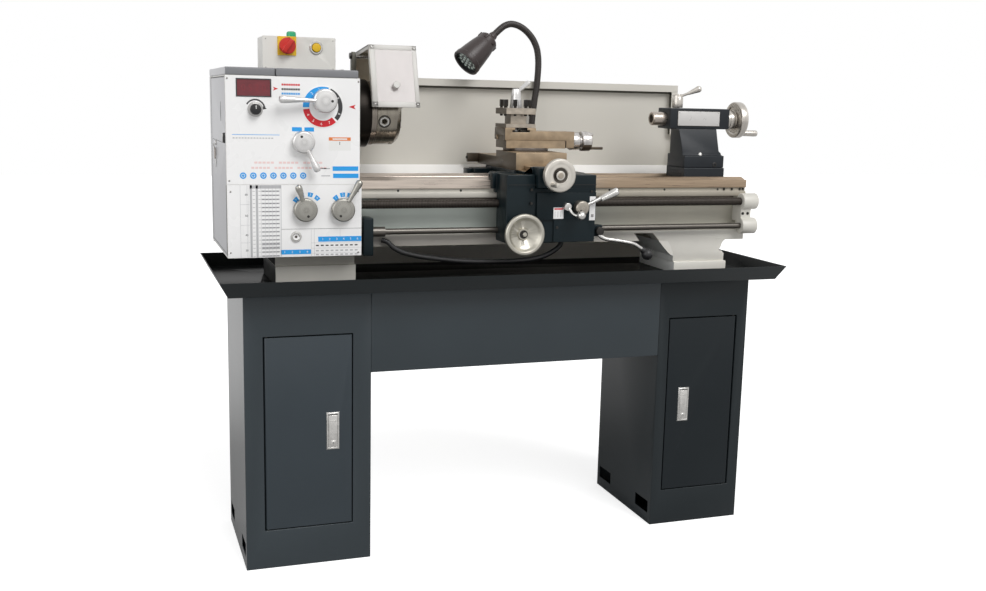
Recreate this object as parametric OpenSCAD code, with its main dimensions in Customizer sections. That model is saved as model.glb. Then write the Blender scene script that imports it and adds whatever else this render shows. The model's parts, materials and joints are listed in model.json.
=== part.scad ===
// Bench lathe on a two-cabinet stand.
// Frame: origin on the floor at the middle of the outer foundation bolts, which is below the bed's
// centre plane; +X runs along the bed to the tailstock, +Y to the back, +Z up. Millimetres.

/* [Stand] */
// Length across both cabinets
stand_l = 1417; // [1380:1:1500]
// Depth of the cabinets
cabinet_d = 363; // [340:1:400]
// Height of the cabinets
cabinet_h = 716; // [600:1:850]
// Width of the left cabinet
left_cabinet_w = 320; // [300:1:360]
// Width of the right cabinet
right_cabinet_w = 279; // [270:1:320]
// Sheet thickness of the cabinets, doors and front panel
sheet_t = 2; // [1.5:0.1:3]
// Thickness of each cabinet's floor plate
floor_plate_t = 6; // [4:0.5:10]
// Diameter of the foundation bolt holes
anchor_d = 14; // [10:0.5:18]
// Distance of the foundation bolt holes from a cabinet's end wall
anchor_inset = 40; // [32:1:60]
// Width of the left door
left_door_w = 220; // [180:1:236]
// Width of the right door
right_door_w = 210; // [170:1:216]
// Height of the doors
door_h = 497; // [400:1:560]
// Height of the doors' lower edge above the floor
door_z = 104; // [80:1:130]

/* [Chip tray] */
// Length of the tray's floor
tray_l = 1500; // [1470:1:1600]
// Depth of the tray's floor
tray_d = 498; // [490:1:560]
// Height of the tray's rim above the cabinets
tray_rim = 39; // [20:1:60]
// How far the tray's rim leans outwards
tray_flare = 21; // [5:1:30]

/* [Bed] */
// Length of the bed
bed_l = 1350; // [1330:1:1450]
// Width of the bed over the ways
bed_w = 206; // [196:1:216]
// Height of the bed casting from its lower flange to the ways
bed_h = 179; // [174:1:200]
// Height of the block under the tailstock-end foot
right_block_h = 32; // [20:1:40]
// Height of the block under the headstock-end foot
left_block_h = 50; // [34:1:60]
// Height of the ground side of the ways
way_side_h = 22; // [16:1:26]
// Height of the ridges on the ways
ridge_h = 8; // [5:0.5:10]
// Module of the rack's teeth
rack_module = 2; // [1.5:0.5:2.5]

/* [Headstock] */
// Length of the headstock casting along the bed
head_l = 205; // [195:1:225]
// Height of the spindle above the ways
centre_h = 160; // [150:1:170]
// Height of the headstock casting above the ways
head_h = 246; // [232:1:260]
// Distance of the front face from the spindle
head_front = 165; // [155:1:175]
// Distance of the rear face from the spindle
head_back = 165; // [150:1:175]
// Wall thickness of the headstock casting
head_wall = 20; // [16:1:26]
// Width of the change-gear guard
guard_w = 120; // [112:1:140]
// Distance of the gear guard's rear wall from the spindle
guard_back = 215; // [210:1:230]
// Height of the feed gearbox below the headstock
gearbox_h = 183; // [170:1:190]
// Distance from the cabinet's inner side to the headstock's spindle-side face
head_setback = 26.5; // [10:0.5:40]

/* [Drive] */
// Module of the change gears
gear_module = 2; // [1.5:0.5:2.5]
// Teeth of the gear on the spindle
spindle_teeth = 40; // [36:1:44]
// Teeth of the idler gear
idler_teeth = 84; // [80:1:90]
// Teeth of the gear on the feed gearbox
feed_teeth = 36; // [32:1:38]
// Radius of the pulley on the spindle
spindle_pulley_r = 60; // [50:1:66]
// Radius of the pulley on the motor
motor_pulley_r = 34; // [26:1:38]
// Radius of the motor
motor_r = 58; // [50:1:62]
// Length of the motor
motor_l = 190; // [150:1:200]

/* [Spindle and chuck] */
// Diameter of the hole through the spindle
spindle_bore = 38; // [26:1:40]
// Diameter of the chuck
chuck_d = 160; // [130:1:165]
// Length of the chuck body
chuck_l = 80; // [60:1:90]
// Thickness of the chuck's back plate
backplate_t = 27; // [18:1:30]
// Distance from the headstock to the back plate
nose_l = 36; // [30:1:45]
// Width of the chuck jaws
jaw_w = 16; // [12:0.5:20]

/* [Chuck guard] */
// Length of the guard along the bed
shield_l = 122; // [100:1:130]
// Height of the guard's window frame
shield_h = 157; // [130:1:170]
// Distance of the guard's front from the spindle
shield_y = 97; // [92:1:105]
// Height of the guard's top above the spindle
shield_top = 175; // [165:1:185]

/* [Electrics] */
// Width of the electrical box
ebox_w = 187; // [150:1:195]
// Depth of the electrical box
ebox_d = 104; // [80:1:110]
// Height of the electrical box
ebox_h = 85; // [70:1:110]

/* [Rods] */
// Diameter of the lead screw
screw_d = 22; // [18:1:24]
// Diameter of the feed rod
rod_d = 16; // [12:1:19]
// Distance of the rods in front of the spindle plane
rod_y = 125; // [121:1:128]
// Depth of the lead screw below the ways
screw_drop = 67; // [64:1:72]

/* [Carriage] */
// Length of the saddle along the bed
saddle_l = 254; // [236:1:270]
// Height of the saddle's wings above the ways
saddle_h = 30; // [27:1:36]
// Length of the apron along the bed
apron_l = 251; // [230:1:260]
// Distance of the apron's front face from the spindle plane
apron_front = 195; // [188:1:205]
// Height of the apron's top above the ways
apron_top = 13; // [8:1:16]
// Depth of the apron's lower edge below the ways
apron_drop = 165; // [158:1:172]
// Radius of the carriage handwheel
apron_wheel_r = 54; // [45:1:60]
// Radius of the cross-feed handwheel
cross_wheel_r = 43; // [36:1:44]

/* [Slides and tool post] */
// Width of the cross slide
cross_w = 145; // [135:1:155]
// Length of the cross slide
cross_l = 320; // [300:1:325]
// Height of the cross slide
cross_h = 46; // [42:1:50]
// Radius of the swivel base
swivel_r = 62; // [54:1:66]
// Height of the swivel base
swivel_h = 9; // [7:1:14]
// Length of the top slide
top_l = 203; // [190:1:215]
// Width of the top slide
top_w = 86; // [80:1:92]
// Height of the top slide
top_h = 45; // [42:1:50]
// Side length of the square tool post
post_w = 86; // [80:1:90]
// Height of the tool slots
tool_slot_h = 26; // [20:1:32]
// Height of the tool post's top plate
post_plate_h = 16; // [12:1:20]
// Radius of the top slide's handwheel
top_wheel_r = 27; // [22:1:30]

/* [Tailstock] */
// Length of the tailstock's base
tail_l = 182; // [170:1:190]
// Width of the tailstock's base
tail_w = 150; // [140:1:160]
// Length of the barrel block
barrel_l = 192; // [180:1:200]
// Height of the barrel block
barrel_h = 58; // [52:1:66]
// Width of the barrel block
barrel_w = 76; // [68:1:84]
// Diameter of the quill
quill_d = 38; // [34:1:42]
// How far the quill stands out at rest
quill_out = 41; // [37:1:60]
// Radius of the tailstock handwheel
tail_wheel_r = 52; // [44:1:56]

/* [Splash guard] */
// Length of the splash guard
splash_l = 1077; // [1000:1:1090]
// Height of the splash guard's top above the ways
splash_top = 258; // [220:1:270]
// Distance of the splash guard behind the spindle plane
splash_y = 223; // [222:1:232]

/* [Fits] */
// Radial clearance of a running fit
run_gap = 0.05; // [0.02:0.01:0.1]
// Clearance between sliding faces
slide_gap = 0.3; // [0.2:0.05:0.5]
// Gap around a door in its frame
door_gap = 3; // [2.5:0.1:4]
// Gap around a bolt in its hole
bolt_gap = 0.3; // [0.2:0.05:0.5]

/* [Hidden] */
$fn = 48;
eps = 1;
panel_h = 217;
anchor_y = 125;
door_fold = 15;
latch_w = 32;
latch_h = 95;
tray_t = 2.5;
foot_h = 61;
web_t = 14;
lid_h = 19;
gear_w = 12;
belt_w = 18;
belt_t = 7;
chuck_turn = 14;
shield_pin_r = 8;
conduit_r = 7;
rod_drop = 137;
dovetail_h = 12;
post_core_w = 46;
splash_t = 1.5;

// Colours
paint_dark = "#39444c";
paint_black = "#23292d";
paint_white = "#e8e6e0";
paint_cream = "#d9d6cc";
paint_grey = "#8d9196";
steel = "#b9bbb9";
way_tan = "#a8917a";
black_plastic = "#1c1c1e";

// Stations along X
cab_x0 = -stand_l / 2;
cab_x1 = cab_x0 + left_cabinet_w;
cab_x3 = stand_l / 2;
cab_x2 = cab_x3 - right_cabinet_w;
head_x1 = cab_x1 - head_setback;
head_x0 = head_x1 - head_l;
guard_x0 = head_x0 - guard_w;
bed_x0 = head_x0;
bed_x1 = bed_x0 + bed_l;
nose_x = head_x1 + nose_l;
chuck_x0 = nose_x + backplate_t;
chuck_x1 = chuck_x0 + chuck_l;

// Heights
tray_z = cabinet_h + tray_t;
flange_z = tray_z + right_block_h + foot_h;
way_z = flange_z + bed_h;
flat_z = way_z - ridge_h;
axis_z = way_z + centre_h;
head_z1 = way_z + head_h;
lid_z1 = head_z1 + lid_h;
gearbox_z1 = flat_z - slide_gap;
gearbox_z0 = gearbox_z1 - gearbox_h;
screw_z = way_z - screw_drop;
rod_z = way_z - rod_drop;

// Half widths and ways
bed_y = bed_w / 2;
rail_w = 55;
front_ridge_y = -bed_y + 19;
rear_ridge_y = bed_y - 45;
ridge_top = 1;
web_y = bed_y - 21;
rail_z = flat_z - way_side_h;
flange_h = 14;
lower_flange_h = 31;

// Box between two corners
module block(p, q) {
  translate(p) cube(q - p);
}

// Shape in the YZ plane, drawn along X
module along_x(x0, x1) {
  translate([x0, 0, 0]) rotate([90, 0, 90]) linear_extrude(x1 - x0) children();
}

// Shape in the XZ plane, drawn along Y
module along_y(y0, y1) {
  translate([0, y1, 0]) rotate([90, 0, 0]) linear_extrude(y1 - y0) children();
}

// Cylinders along the three axes
module rod_x(r, x0, x1, y, z, r2 = undef) {
  translate([x0, y, z]) rotate([0, 90, 0]) cylinder(h = x1 - x0, r1 = r, r2 = is_undef(r2) ? r : r2);
}
module rod_y(r, y0, y1, x, z, r2 = undef) {
  translate([x, y0, z]) rotate([-90, 0, 0]) cylinder(h = y1 - y0, r1 = r, r2 = is_undef(r2) ? r : r2);
}
module rod_z(r, z0, z1, x, y, r2 = undef) {
  translate([x, y, z0]) cylinder(h = z1 - z0, r1 = r, r2 = is_undef(r2) ? r : r2);
}

// Body of revolution about an X line through (y, z); its outline is [radius, x]
module turned_x(y, z) {
  translate([0, y, z]) rotate([0, 90, 0]) rotate_extrude() children();
}

// Body of revolution about a Y line through (x, z); its outline is [radius, y]
module turned_y(x, z) {
  translate([x, 0, z]) rotate([-90, 0, 0]) rotate_extrude() children();
}

// Round bar between two points
module strut(p, q, r1, r2) {
  v = q - p;
  length = norm(v);
  translate(p) rotate([0, acos(v.z / length), atan2(v.y, v.x)]) cylinder(h = length, r1 = r1, r2 = r2);
}

// Hexagon bolt head or nut on a Z line
module hex_z(across, z0, z1, x, y) {
  translate([x, y, z0]) cylinder(h = z1 - z0, d = across / cos(30), $fn = 6);
}

// ---------------------------------------------------------------- stand

access_w = 80;
access_h = 35;
access_z = 30;
lip_w = 12;
fold_gap = 2;
frame_d = door_fold + fold_gap;
hinge_r = 6;
hinge_pin_r = 3;
left_door_x0 = cab_x0 + (left_cabinet_w - left_door_w) / 2;
right_door_x0 = cab_x2 + (right_cabinet_w - right_door_w) / 2;
front_y = -cabinet_d / 2;
bolt_r = 6;
foot_bolt_y = 72;
left_foot_x0 = bed_x0 + 2;
left_foot_x1 = head_x1;
right_foot_x1 = bed_x1 - 60;
right_foot_x0 = right_foot_x1 - 166;
foot_bolt_inset = 34;
foot_bolts = [
  for (x = [left_foot_x0 + foot_bolt_inset, left_foot_x1 - foot_bolt_inset,
       right_foot_x0 + foot_bolt_inset, right_foot_x1 - foot_bolt_inset],
    y = [-foot_bolt_y, foot_bolt_y]) [x, y]
];

// Sheet cabinet with a framed door opening in its front
module cabinet(x0, w, door_x, door_w) {
  difference() {
    union() {
      difference() {
        block([x0, front_y, 0], [x0 + w, -front_y, cabinet_h]);
        block([x0 + sheet_t, front_y + sheet_t, floor_plate_t],
           [x0 + w - sheet_t, -front_y - sheet_t, cabinet_h - sheet_t]);
      }
      block([door_x - door_gap - sheet_t, front_y, door_z - door_gap - sheet_t],
         [door_x + door_w + door_gap + sheet_t, front_y + frame_d + sheet_t,
         door_z + door_h + door_gap + sheet_t]);
    }
    block([door_x - door_gap, front_y - eps, door_z - door_gap],
       [door_x + door_w + door_gap, front_y + frame_d, door_z + door_h + door_gap]);
    block([door_x + lip_w, front_y - eps, door_z + lip_w],
       [door_x + door_w - lip_w, front_y + frame_d + sheet_t + eps, door_z + door_h - lip_w]);
    for (x = [x0 + anchor_inset, x0 + w - anchor_inset], y = [-anchor_y, anchor_y])
      rod_z(anchor_d / 2, -eps, floor_plate_t + eps, x, y);
    for (x = [x0, x0 + w - sheet_t], y = [-anchor_y, anchor_y])
      block([x - eps, y - access_w / 2, access_z],
         [x + sheet_t + eps, y + access_w / 2, access_z + access_h]);
    for (b = foot_bolts)
      rod_z(bolt_r + bolt_gap, cabinet_h - sheet_t - eps, cabinet_h + eps, b.x, b.y);
    for (x = [door_x + hinge_r, door_x + door_w - hinge_r])
      rod_z(hinge_pin_r + run_gap, door_z - door_gap - sheet_t - eps,
         door_z + door_h + door_gap + sheet_t + eps, x, front_y + hinge_r);
  }
}

// Cabinet door: folded panel with a hinge barrel on one edge and a latch case on the other
module cabinet_door(x0, w, hinge_x, latch_x) {
  z1 = door_z + door_h;
  inner = hinge_x < latch_x ? [x0 + hinge_r, x0 + w] : [x0, x0 + w - hinge_r];
  mid_z = door_z + door_h / 2;
  difference() {
    union() {
      block([inner[0], front_y, door_z], [inner[1], front_y + sheet_t, z1]);
      for (z = [door_z, z1 - sheet_t])
        block([inner[0], front_y, z], [inner[1], front_y + 2 * hinge_r, z + sheet_t]);
      edge_x = hinge_x < latch_x ? x0 + w - sheet_t : x0;
      block([edge_x, front_y, door_z], [edge_x + sheet_t, front_y + door_fold, z1]);
      rod_z(hinge_r, door_z, z1, hinge_x, front_y + hinge_r);
      block([latch_x - latch_w / 2, front_y - latch_proud, mid_z - latch_h / 2],
         [latch_x + latch_w / 2, front_y + latch_case_d, mid_z + latch_h / 2]);
    }
    rod_z(hinge_pin_r + run_gap, door_z - eps, z1 + eps, hinge_x, front_y + hinge_r);
    block([latch_x - latch_w / 2 + latch_rim, front_y - latch_proud - eps, mid_z - latch_h / 2 + latch_rim],
       [latch_x + latch_w / 2 - latch_rim, front_y + latch_case_d - sheet_t, mid_z + latch_h / 2 - latch_rim]);
    rod_x(latch_pin_r + run_gap, latch_x - latch_w / 2 + 1.5, latch_x + latch_w / 2 - 1.5,
       front_y + latch_pin_y, mid_z + latch_pin_z);
  }
}

latch_proud = 3;
latch_case_d = 14;
latch_rim = 4;
latch_pin_r = 2;
latch_pin_y = 1;
latch_pin_z = latch_h / 2 - latch_rim - 5;
latch_plate_t = 4;
left_latch_x = left_door_x0 + left_door_w - 49;
right_latch_x = right_door_x0 + 53;

// Flush handle that swings out on a pin near its top, with its push key
module latch_handle(latch_x) {
  mid_z = door_z + door_h / 2;
  half = latch_w / 2 - latch_rim - slide_gap;
  z1 = mid_z + latch_pin_z + 3;
  z0 = mid_z - latch_h / 2 + latch_rim + slide_gap;
  block([latch_x - half, front_y - latch_proud, z0],
     [latch_x + half, front_y - latch_proud + latch_plate_t, z1]);
  block([latch_x - half, front_y - latch_proud, z1 - 6], [latch_x + half, front_y + latch_pin_y + 2, z1]);
  rod_x(latch_pin_r, latch_x - latch_w / 2 + 1.8, latch_x + latch_w / 2 - 1.8,
     front_y + latch_pin_y, mid_z + latch_pin_z);
  block([latch_x - 6, front_y - latch_proud - 2, z0 + 5], [latch_x + 6, front_y - latch_proud, z0 + 17]);
}

module left_cabinet() {
  color(paint_dark) cabinet(cab_x0, left_cabinet_w, left_door_x0, left_door_w);
}
module right_cabinet() {
  color(paint_dark) cabinet(cab_x2, right_cabinet_w, right_door_x0, right_door_w);
}
module left_door() {
  color(paint_dark) cabinet_door(left_door_x0, left_door_w, left_door_x0 + hinge_r, left_latch_x);
}
module right_door() {
  color(paint_dark)
    cabinet_door(right_door_x0, right_door_w, right_door_x0 + right_door_w - hinge_r, right_latch_x);
}
module left_latch() {
  color(steel) latch_handle(left_latch_x);
}
module right_latch() {
  color(steel) latch_handle(right_latch_x);
}

// Panel that ties the cabinets together, with a return along its lower edge
module front_panel() {
  panel_z0 = cabinet_h - panel_h;
  panel_return = 22;
  color(paint_dark) {
    block([cab_x1, front_y, panel_z0], [cab_x2, front_y + sheet_t, cabinet_h]);
    block([cab_x1, front_y, panel_z0], [cab_x2, front_y + panel_return, panel_z0 + sheet_t]);
    block([cab_x1, front_y, cabinet_h - sheet_t], [cab_x2, front_y + panel_return, cabinet_h]);
  }
}

// Rectangle of the tray at a height between its floor and its rim
module tray_slice(grow, z) {
  translate([0, 0, z]) linear_extrude(0.01) square([tray_l + 2 * grow, tray_d + 2 * grow], center = true);
}

// Sheet tray with a flared rim
module chip_tray() {
  color(paint_black) difference() {
    hull() {
      tray_slice(0, cabinet_h);
      tray_slice(tray_flare, cabinet_h + tray_rim - 0.01);
    }
    hull() {
      tray_slice(-tray_t, tray_z);
      tray_slice(tray_flare - tray_t, cabinet_h + tray_rim);
    }
    for (b = foot_bolts)
      rod_z(bolt_r + bolt_gap, cabinet_h - eps, tray_z + eps, b.x, b.y);
  }
}

// ---------------------------------------------------------------- bed

// Ridge of a way, grown by a clearance
module ridge(y, grow) {
  translate([y, 0])
    polygon([[-ridge_top - ridge_h - grow, -eps], [-ridge_top - ridge_h - grow, 0],
        [-ridge_top - grow, ridge_h + grow], [ridge_top + grow, ridge_h + grow],
        [ridge_top + ridge_h + grow, 0], [ridge_top + ridge_h + grow, -eps]]);
}

// Both ridges along X, for cutting what stands on them
module ridge_cut(x0, x1) {
  along_x(x0, x1) translate([0, flat_z]) {
    ridge(front_ridge_y, slide_gap);
    ridge(rear_ridge_y, slide_gap);
  }
}

// One wall of the bed with its rail and flanges, drawn for the rear side
module bed_wall(ridge_y) {
  strip_in = 6;
  strip_z = rail_z - 10;
  flange_bottom = strip_z - flange_h;
  lower_top = flange_z + lower_flange_h;
  rail_in = bed_y - rail_w;
  union() {
    polygon([
      [rail_in, flat_z], [bed_y, flat_z], [bed_y, rail_z], [bed_y - strip_in, rail_z],
      [bed_y - strip_in, strip_z], [bed_y, strip_z], [bed_y, flange_bottom], [web_y, flange_bottom],
      [web_y, lower_top], [bed_y, lower_top], [bed_y, flange_z], [web_y - web_t - 8, flange_z],
      [web_y - web_t - 8, lower_top - 12], [web_y - web_t, lower_top], [web_y - web_t, rail_z - 14],
      [rail_in, rail_z - 4]
    ]);
    translate([0, flat_z]) ridge(ridge_y, 0);
  }
}

rib_pitch = 138;
rib_t = 10;
end_plate_t = 14;
nose_round = 11;

// Side view of the foot at the tailstock end, swept in at both sides
module right_foot_outline() {
  neck_z = tray_z + right_block_h + 28;
  sweep = 48;
  difference() {
    polygon([
      [right_foot_x0 - 83, flange_z + 18], [right_foot_x1 + 2, flange_z + 18],
      [right_foot_x1 + 2, flange_z], [right_foot_x1 - 20, neck_z], [right_foot_x1 - 2, neck_z],
      [right_foot_x1 - 2, tray_z + right_block_h], [right_foot_x0, tray_z + right_block_h],
      [right_foot_x0, neck_z], [right_foot_x0 - 10, neck_z + 4], [right_foot_x0 - 83, flange_z + 18]
    ]);
    translate([right_foot_x1 + 12, neck_z + 12]) circle(r = 34 - 12 + 1);
    translate([right_foot_x0 - 5 - sweep, neck_z - 8 + 4]) circle(r = sweep);
  }
}

// Bed casting with its feet, and the two blocks that it stands on
module bed() {
  half_foot = bed_y - 1;
  block_y = bed_y + 5;
  color(paint_cream) {
    difference() {
      union() {
        along_x(bed_x0, bed_x1) bed_wall(rear_ridge_y);
        along_x(bed_x0, bed_x1) mirror([1, 0]) bed_wall(-front_ridge_y);
        for (x = [bed_x0, bed_x1 - end_plate_t])
          block([x, -web_y, flange_z], [x + end_plate_t, web_y, flat_z - 4]);
        for (x = [bed_x0 + rib_pitch : rib_pitch : bed_x1 - rib_pitch / 2])
          block([x, -web_y, flange_z + 6], [x + rib_t, web_y, rail_z - 52]);
        block([left_foot_x0, -half_foot, tray_z + left_block_h], [left_foot_x1, half_foot, flange_z + 10]);
        along_y(-half_foot - 1, half_foot + 1) right_foot_outline();
      }
      for (s = [-1, 1])
        difference() {
          block([bed_x1 - nose_round, min(s * (bed_y + eps), s * (bed_y - rail_w - eps)), way_z - nose_round],
             [bed_x1 + eps, max(s * (bed_y + eps), s * (bed_y - rail_w - eps)), way_z + eps]);
          rod_y(nose_round, -bed_w, bed_w, bed_x1 - nose_round, way_z - nose_round);
        }
      for (b = foot_bolts)
        rod_z(bolt_r + run_gap, tray_z, flange_z - 10, b.x, b.y);
    }
    difference() {
      union() {
        block([left_foot_x0, -block_y, tray_z],
           [left_foot_x1 + 2, block_y, tray_z + left_block_h - run_gap]);
        block([right_foot_x0 + 2, -block_y, tray_z],
           [right_foot_x1 + 4, block_y, tray_z + right_block_h - run_gap]);
      }
      for (b = foot_bolts)
        rod_z(bolt_r + bolt_gap, tray_z - eps, flange_z, b.x, b.y);
    }
  }
}

rack_x0 = chuck_x0;
rack_x1 = bed_x1 - 34;
rack_z1 = rail_z - 10 - flange_h;
rack_body_h = 7;
rack_w = 14;

// Toothed rack under the front flange, teeth down
module rack() {
  pitch = PI * rack_module;
  count = floor((rack_x1 - rack_x0) / pitch);
  tooth_h = 2.25 * rack_module;
  root_z = rack_z1 - rack_body_h;
  flank = tooth_h * tan(20);
  half_root = (pitch / 2 + 2 * 1.25 * rack_module * tan(20)) / 2;
  color(steel) along_y(-bed_y + 2, -bed_y + 2 + rack_w)
    polygon(concat(
      [[rack_x0, rack_z1], [rack_x0, root_z]],
      [for (i = [0 : count - 1], p = [[-half_root, 0], [-half_root + flank, -tooth_h],
                      [half_root - flank, -tooth_h], [half_root, 0]])
        [rack_x0 + (i + 0.5) * pitch + p.x, root_z + p.y]],
      [[rack_x0 + count * pitch, root_z], [rack_x0 + count * pitch, rack_z1]]
    ));
}

bracket_w = 48;
boss_r = 23;
bracket_x0 = bed_x1 - 30;
left_bracket_x0 = head_x1 + 12;
left_bracket_w = 26;

// Bearing bracket of the rods at the bed's end, and the one beside the gearbox
module rod_brackets() {
  union() {
    color(paint_cream) difference() {
      union() {
        rod_x(boss_r, bracket_x0, bracket_x0 + bracket_w, -rod_y, screw_z);
        rod_x(boss_r, bracket_x0, bracket_x0 + bracket_w, -rod_y, rod_z);
        block([bracket_x0, -rod_y - 6, rod_z], [bed_x1 + 2, -bed_y + 1, screw_z]);
        block([bracket_x0, -bed_y + 1, rod_z + 12], [bed_x1 + 2, -web_y, screw_z - 14]);
      }
      rod_x(screw_d / 2 - 3 + run_gap, bracket_x0 - eps, bracket_x0 + bracket_w - 6, -rod_y, screw_z);
      rod_x(rod_d / 2 + run_gap, bracket_x0 - eps, bracket_x0 + bracket_w - 6, -rod_y, rod_z);
    }
    color(paint_dark) difference() {
      block([left_bracket_x0, -rod_y - 28, rod_z - 58],
         [left_bracket_x0 + left_bracket_w, -bed_y - slide_gap, rod_z + 38]);
      rod_x(rod_d / 2 + slide_gap, left_bracket_x0 - eps, left_bracket_x0 + left_bracket_w + eps, -rod_y, rod_z);
    }
  }
}

// Lead screw with plain journals
module lead_screw() {
  color(steel) {
    rod_x(screw_d / 2 - 3, head_x1 - 16, bracket_x0 + bracket_w - 7, -rod_y, screw_z);
    rod_x(screw_d / 2, head_x1 + 5, bracket_x0 - 1, -rod_y, screw_z);
  }
}

// Feed rod with its coupling sleeve
module feed_rod() {
  sleeve_x0 = left_bracket_x0 + left_bracket_w + 3;
  color(steel) {
    rod_x(rod_d / 2, head_x1 - 16, bracket_x0 + bracket_w - 7, -rod_y, rod_z);
    rod_x(rod_d / 2 + 5, sleeve_x0, sleeve_x0 + 32, -rod_y, rod_z);
  }
}

// ---------------------------------------------------------------- headstock

bearing_r = 52;
bearing_w = 24;
front_journal_r = 40;
rear_journal_r = 35;
lever_shaft_r = 8;
lever_shaft_l = 18;
knob_x0 = guard_x0;
speed_lever_at = [head_x1 - 90, way_z + 190];
direction_lever_at = [head_x1 - 142, way_z + 90.5];
left_feed_at = [head_x1 - 138, way_z - 74];
right_feed_at = [head_x1 - 45, way_z - 75];
speed_knob_at = [guard_x0 + 70, way_z + 167];
display_at = [guard_x0 + 67, way_z + 217.5];
display_size = [78, 38];
shield_pivot_y = shield_y - 12;
shield_pivot_z = axis_z + shield_top - 25;
lug_w = 10;

// Shaft seat of a lever in a front wall
module lever_seat(at, r = lever_shaft_r) {
  rod_y(r + run_gap, -head_front - eps, -head_front + lever_shaft_l + 0.5, at.x, at.y);
}

// Headstock casting: an open oil bath with two bearing walls and the chuck guard's lug
module headstock() {
  inner_x0 = head_x0 + 34;
  inner_x1 = head_x1 - 34;
  color(paint_white) difference() {
    union() {
      block([head_x0, -head_front, flat_z], [head_x1, head_back, head_z1]);
      block([head_x1 - eps, shield_pivot_y - 18, axis_z + 20], [head_x1 + lug_w, shield_pivot_y + 14, shield_pivot_z - 6]);
      rod_x(14, head_x1 - eps, head_x1 + lug_w, shield_pivot_y, shield_pivot_z);
    }
    block([inner_x0, -head_front + head_wall, way_z + 34], [inner_x1, head_back - head_wall, head_z1 + eps]);
    for (s = [[head_x0 - eps, inner_x0 - bearing_w], [inner_x1 + bearing_w, head_x1 + eps]])
      rod_x(front_journal_r + 3, s[0], s[1], 0, axis_z);
    for (x = [inner_x0 - bearing_w, inner_x1 - eps])
      rod_x(bearing_r + run_gap, x, x + bearing_w + eps, 0, axis_z);
    rod_x(shield_pin_r + run_gap, head_x1 + 1, head_x1 + lug_w + eps, shield_pivot_y, shield_pivot_z);
    block([head_x1 - 60, shield_pivot_y - 30, head_z1], [head_x1 - eps, shield_pivot_y + 30, shield_pivot_z + 40]);
    lever_seat(speed_lever_at);
    lever_seat(direction_lever_at);
    ridge_cut(head_x0 - eps, head_x1 + eps);
    block([head_x0 - eps, -bed_y + rail_w, flat_z - eps], [head_x1 + eps, bed_y - rail_w, flat_z + 12]);
  }
}

// Roller bearings of the spindle
module spindle_bearings() {
  color(steel) {
    turned_x(0, axis_z)
      translate([rear_journal_r + run_gap, head_x0 + 34 - bearing_w])
        square([bearing_r - rear_journal_r - run_gap, bearing_w]);
    turned_x(0, axis_z)
      translate([front_journal_r + run_gap, head_x1 - 34])
        square([bearing_r - front_journal_r - run_gap, bearing_w]);
  }
}

// Cast lids of the headstock and of the gear guard
module headstock_lids() {
  seam = 2;
  color(paint_grey) {
    block([guard_x0, -head_front, head_z1], [head_x0 - seam, guard_back, lid_z1]);
    block([head_x0, -head_front, head_z1], [head_x1 - 4, head_back, lid_z1]);
  }
}

// Feed gearbox below the headstock's front
module gearbox() {
  color(paint_white) difference() {
    block([head_x0, -head_front, gearbox_z0], [head_x1 + 4, -bed_y - slide_gap, gearbox_z1]);
    lever_seat(left_feed_at);
    lever_seat(right_feed_at);
    rod_y(9, -head_front - eps, -head_front + 6, head_x0 + 45, gearbox_z0 + 52);
    rod_x(screw_d / 2 - 3 + run_gap, head_x1 - 17, head_x1 + 4 + eps, -rod_y, screw_z);
    rod_x(rod_d / 2 + run_gap, head_x1 - 17, head_x1 + 4 + eps, -rod_y, rod_z);
    rod_x(feed_shaft_r + run_gap, head_x0 - eps, head_x0 + 31, feed_at.x, feed_at.y);
  }
}

// ---------------------------------------------------------------- drive

guard_t = 3;
cover_fold = 15;
cover_hinge_r = 6;
feed_shaft_r = 10;
motor_shaft_r = 12;
stud_r = 10;
drive_r = 27;
gear_x1 = guard_x0 + 36;
gear_x0 = gear_x1 - gear_w;
belt_x0 = gear_x1 + 12;
pulley_rim = 4;
motor_at = [bed_y + motor_r + 8, way_z - 110];
cover_hinge_at = [guard_x0 + cover_hinge_r, guard_back - guard_t - door_gap - cover_hinge_r + 2];
guard_z0 = gearbox_z0;

// Pitch radius of a gear
function pitch_r(teeth) = gear_module * teeth / 2;

spindle_at = [0, axis_z];
feed_y = -bed_y - 15;
idler_lean = 16.4;
idler_at = spindle_at - (pitch_r(spindle_teeth) + pitch_r(idler_teeth)) * [sin(idler_lean), cos(idler_lean)];
feed_reach = pitch_r(feed_teeth) + pitch_r(idler_teeth);
feed_at = [feed_y, idler_at.y - sqrt(pow(feed_reach, 2) - pow(feed_y - idler_at.x, 2))];

// Direction from one centre to another, in degrees
function bearing(p, q) = atan2(q.y - p.y, q.x - p.x);

// Turn that puts a gear in mesh with one that is turned by a given angle
function mesh_turn(from_turn, from_teeth, to_teeth, direction) =
  direction + 180 + 180 / to_teeth - (from_turn - direction) * from_teeth / to_teeth;

idler_turn = mesh_turn(0, spindle_teeth, idler_teeth, bearing(spindle_at, idler_at));
feed_turn = mesh_turn(idler_turn, idler_teeth, feed_teeth, bearing(idler_at, feed_at));

// Involute angle at a radius outside the base circle, in degrees
function involute(r, base) = let (a = acos(base / r)) tan(a) * 180 / PI - a;

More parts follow.
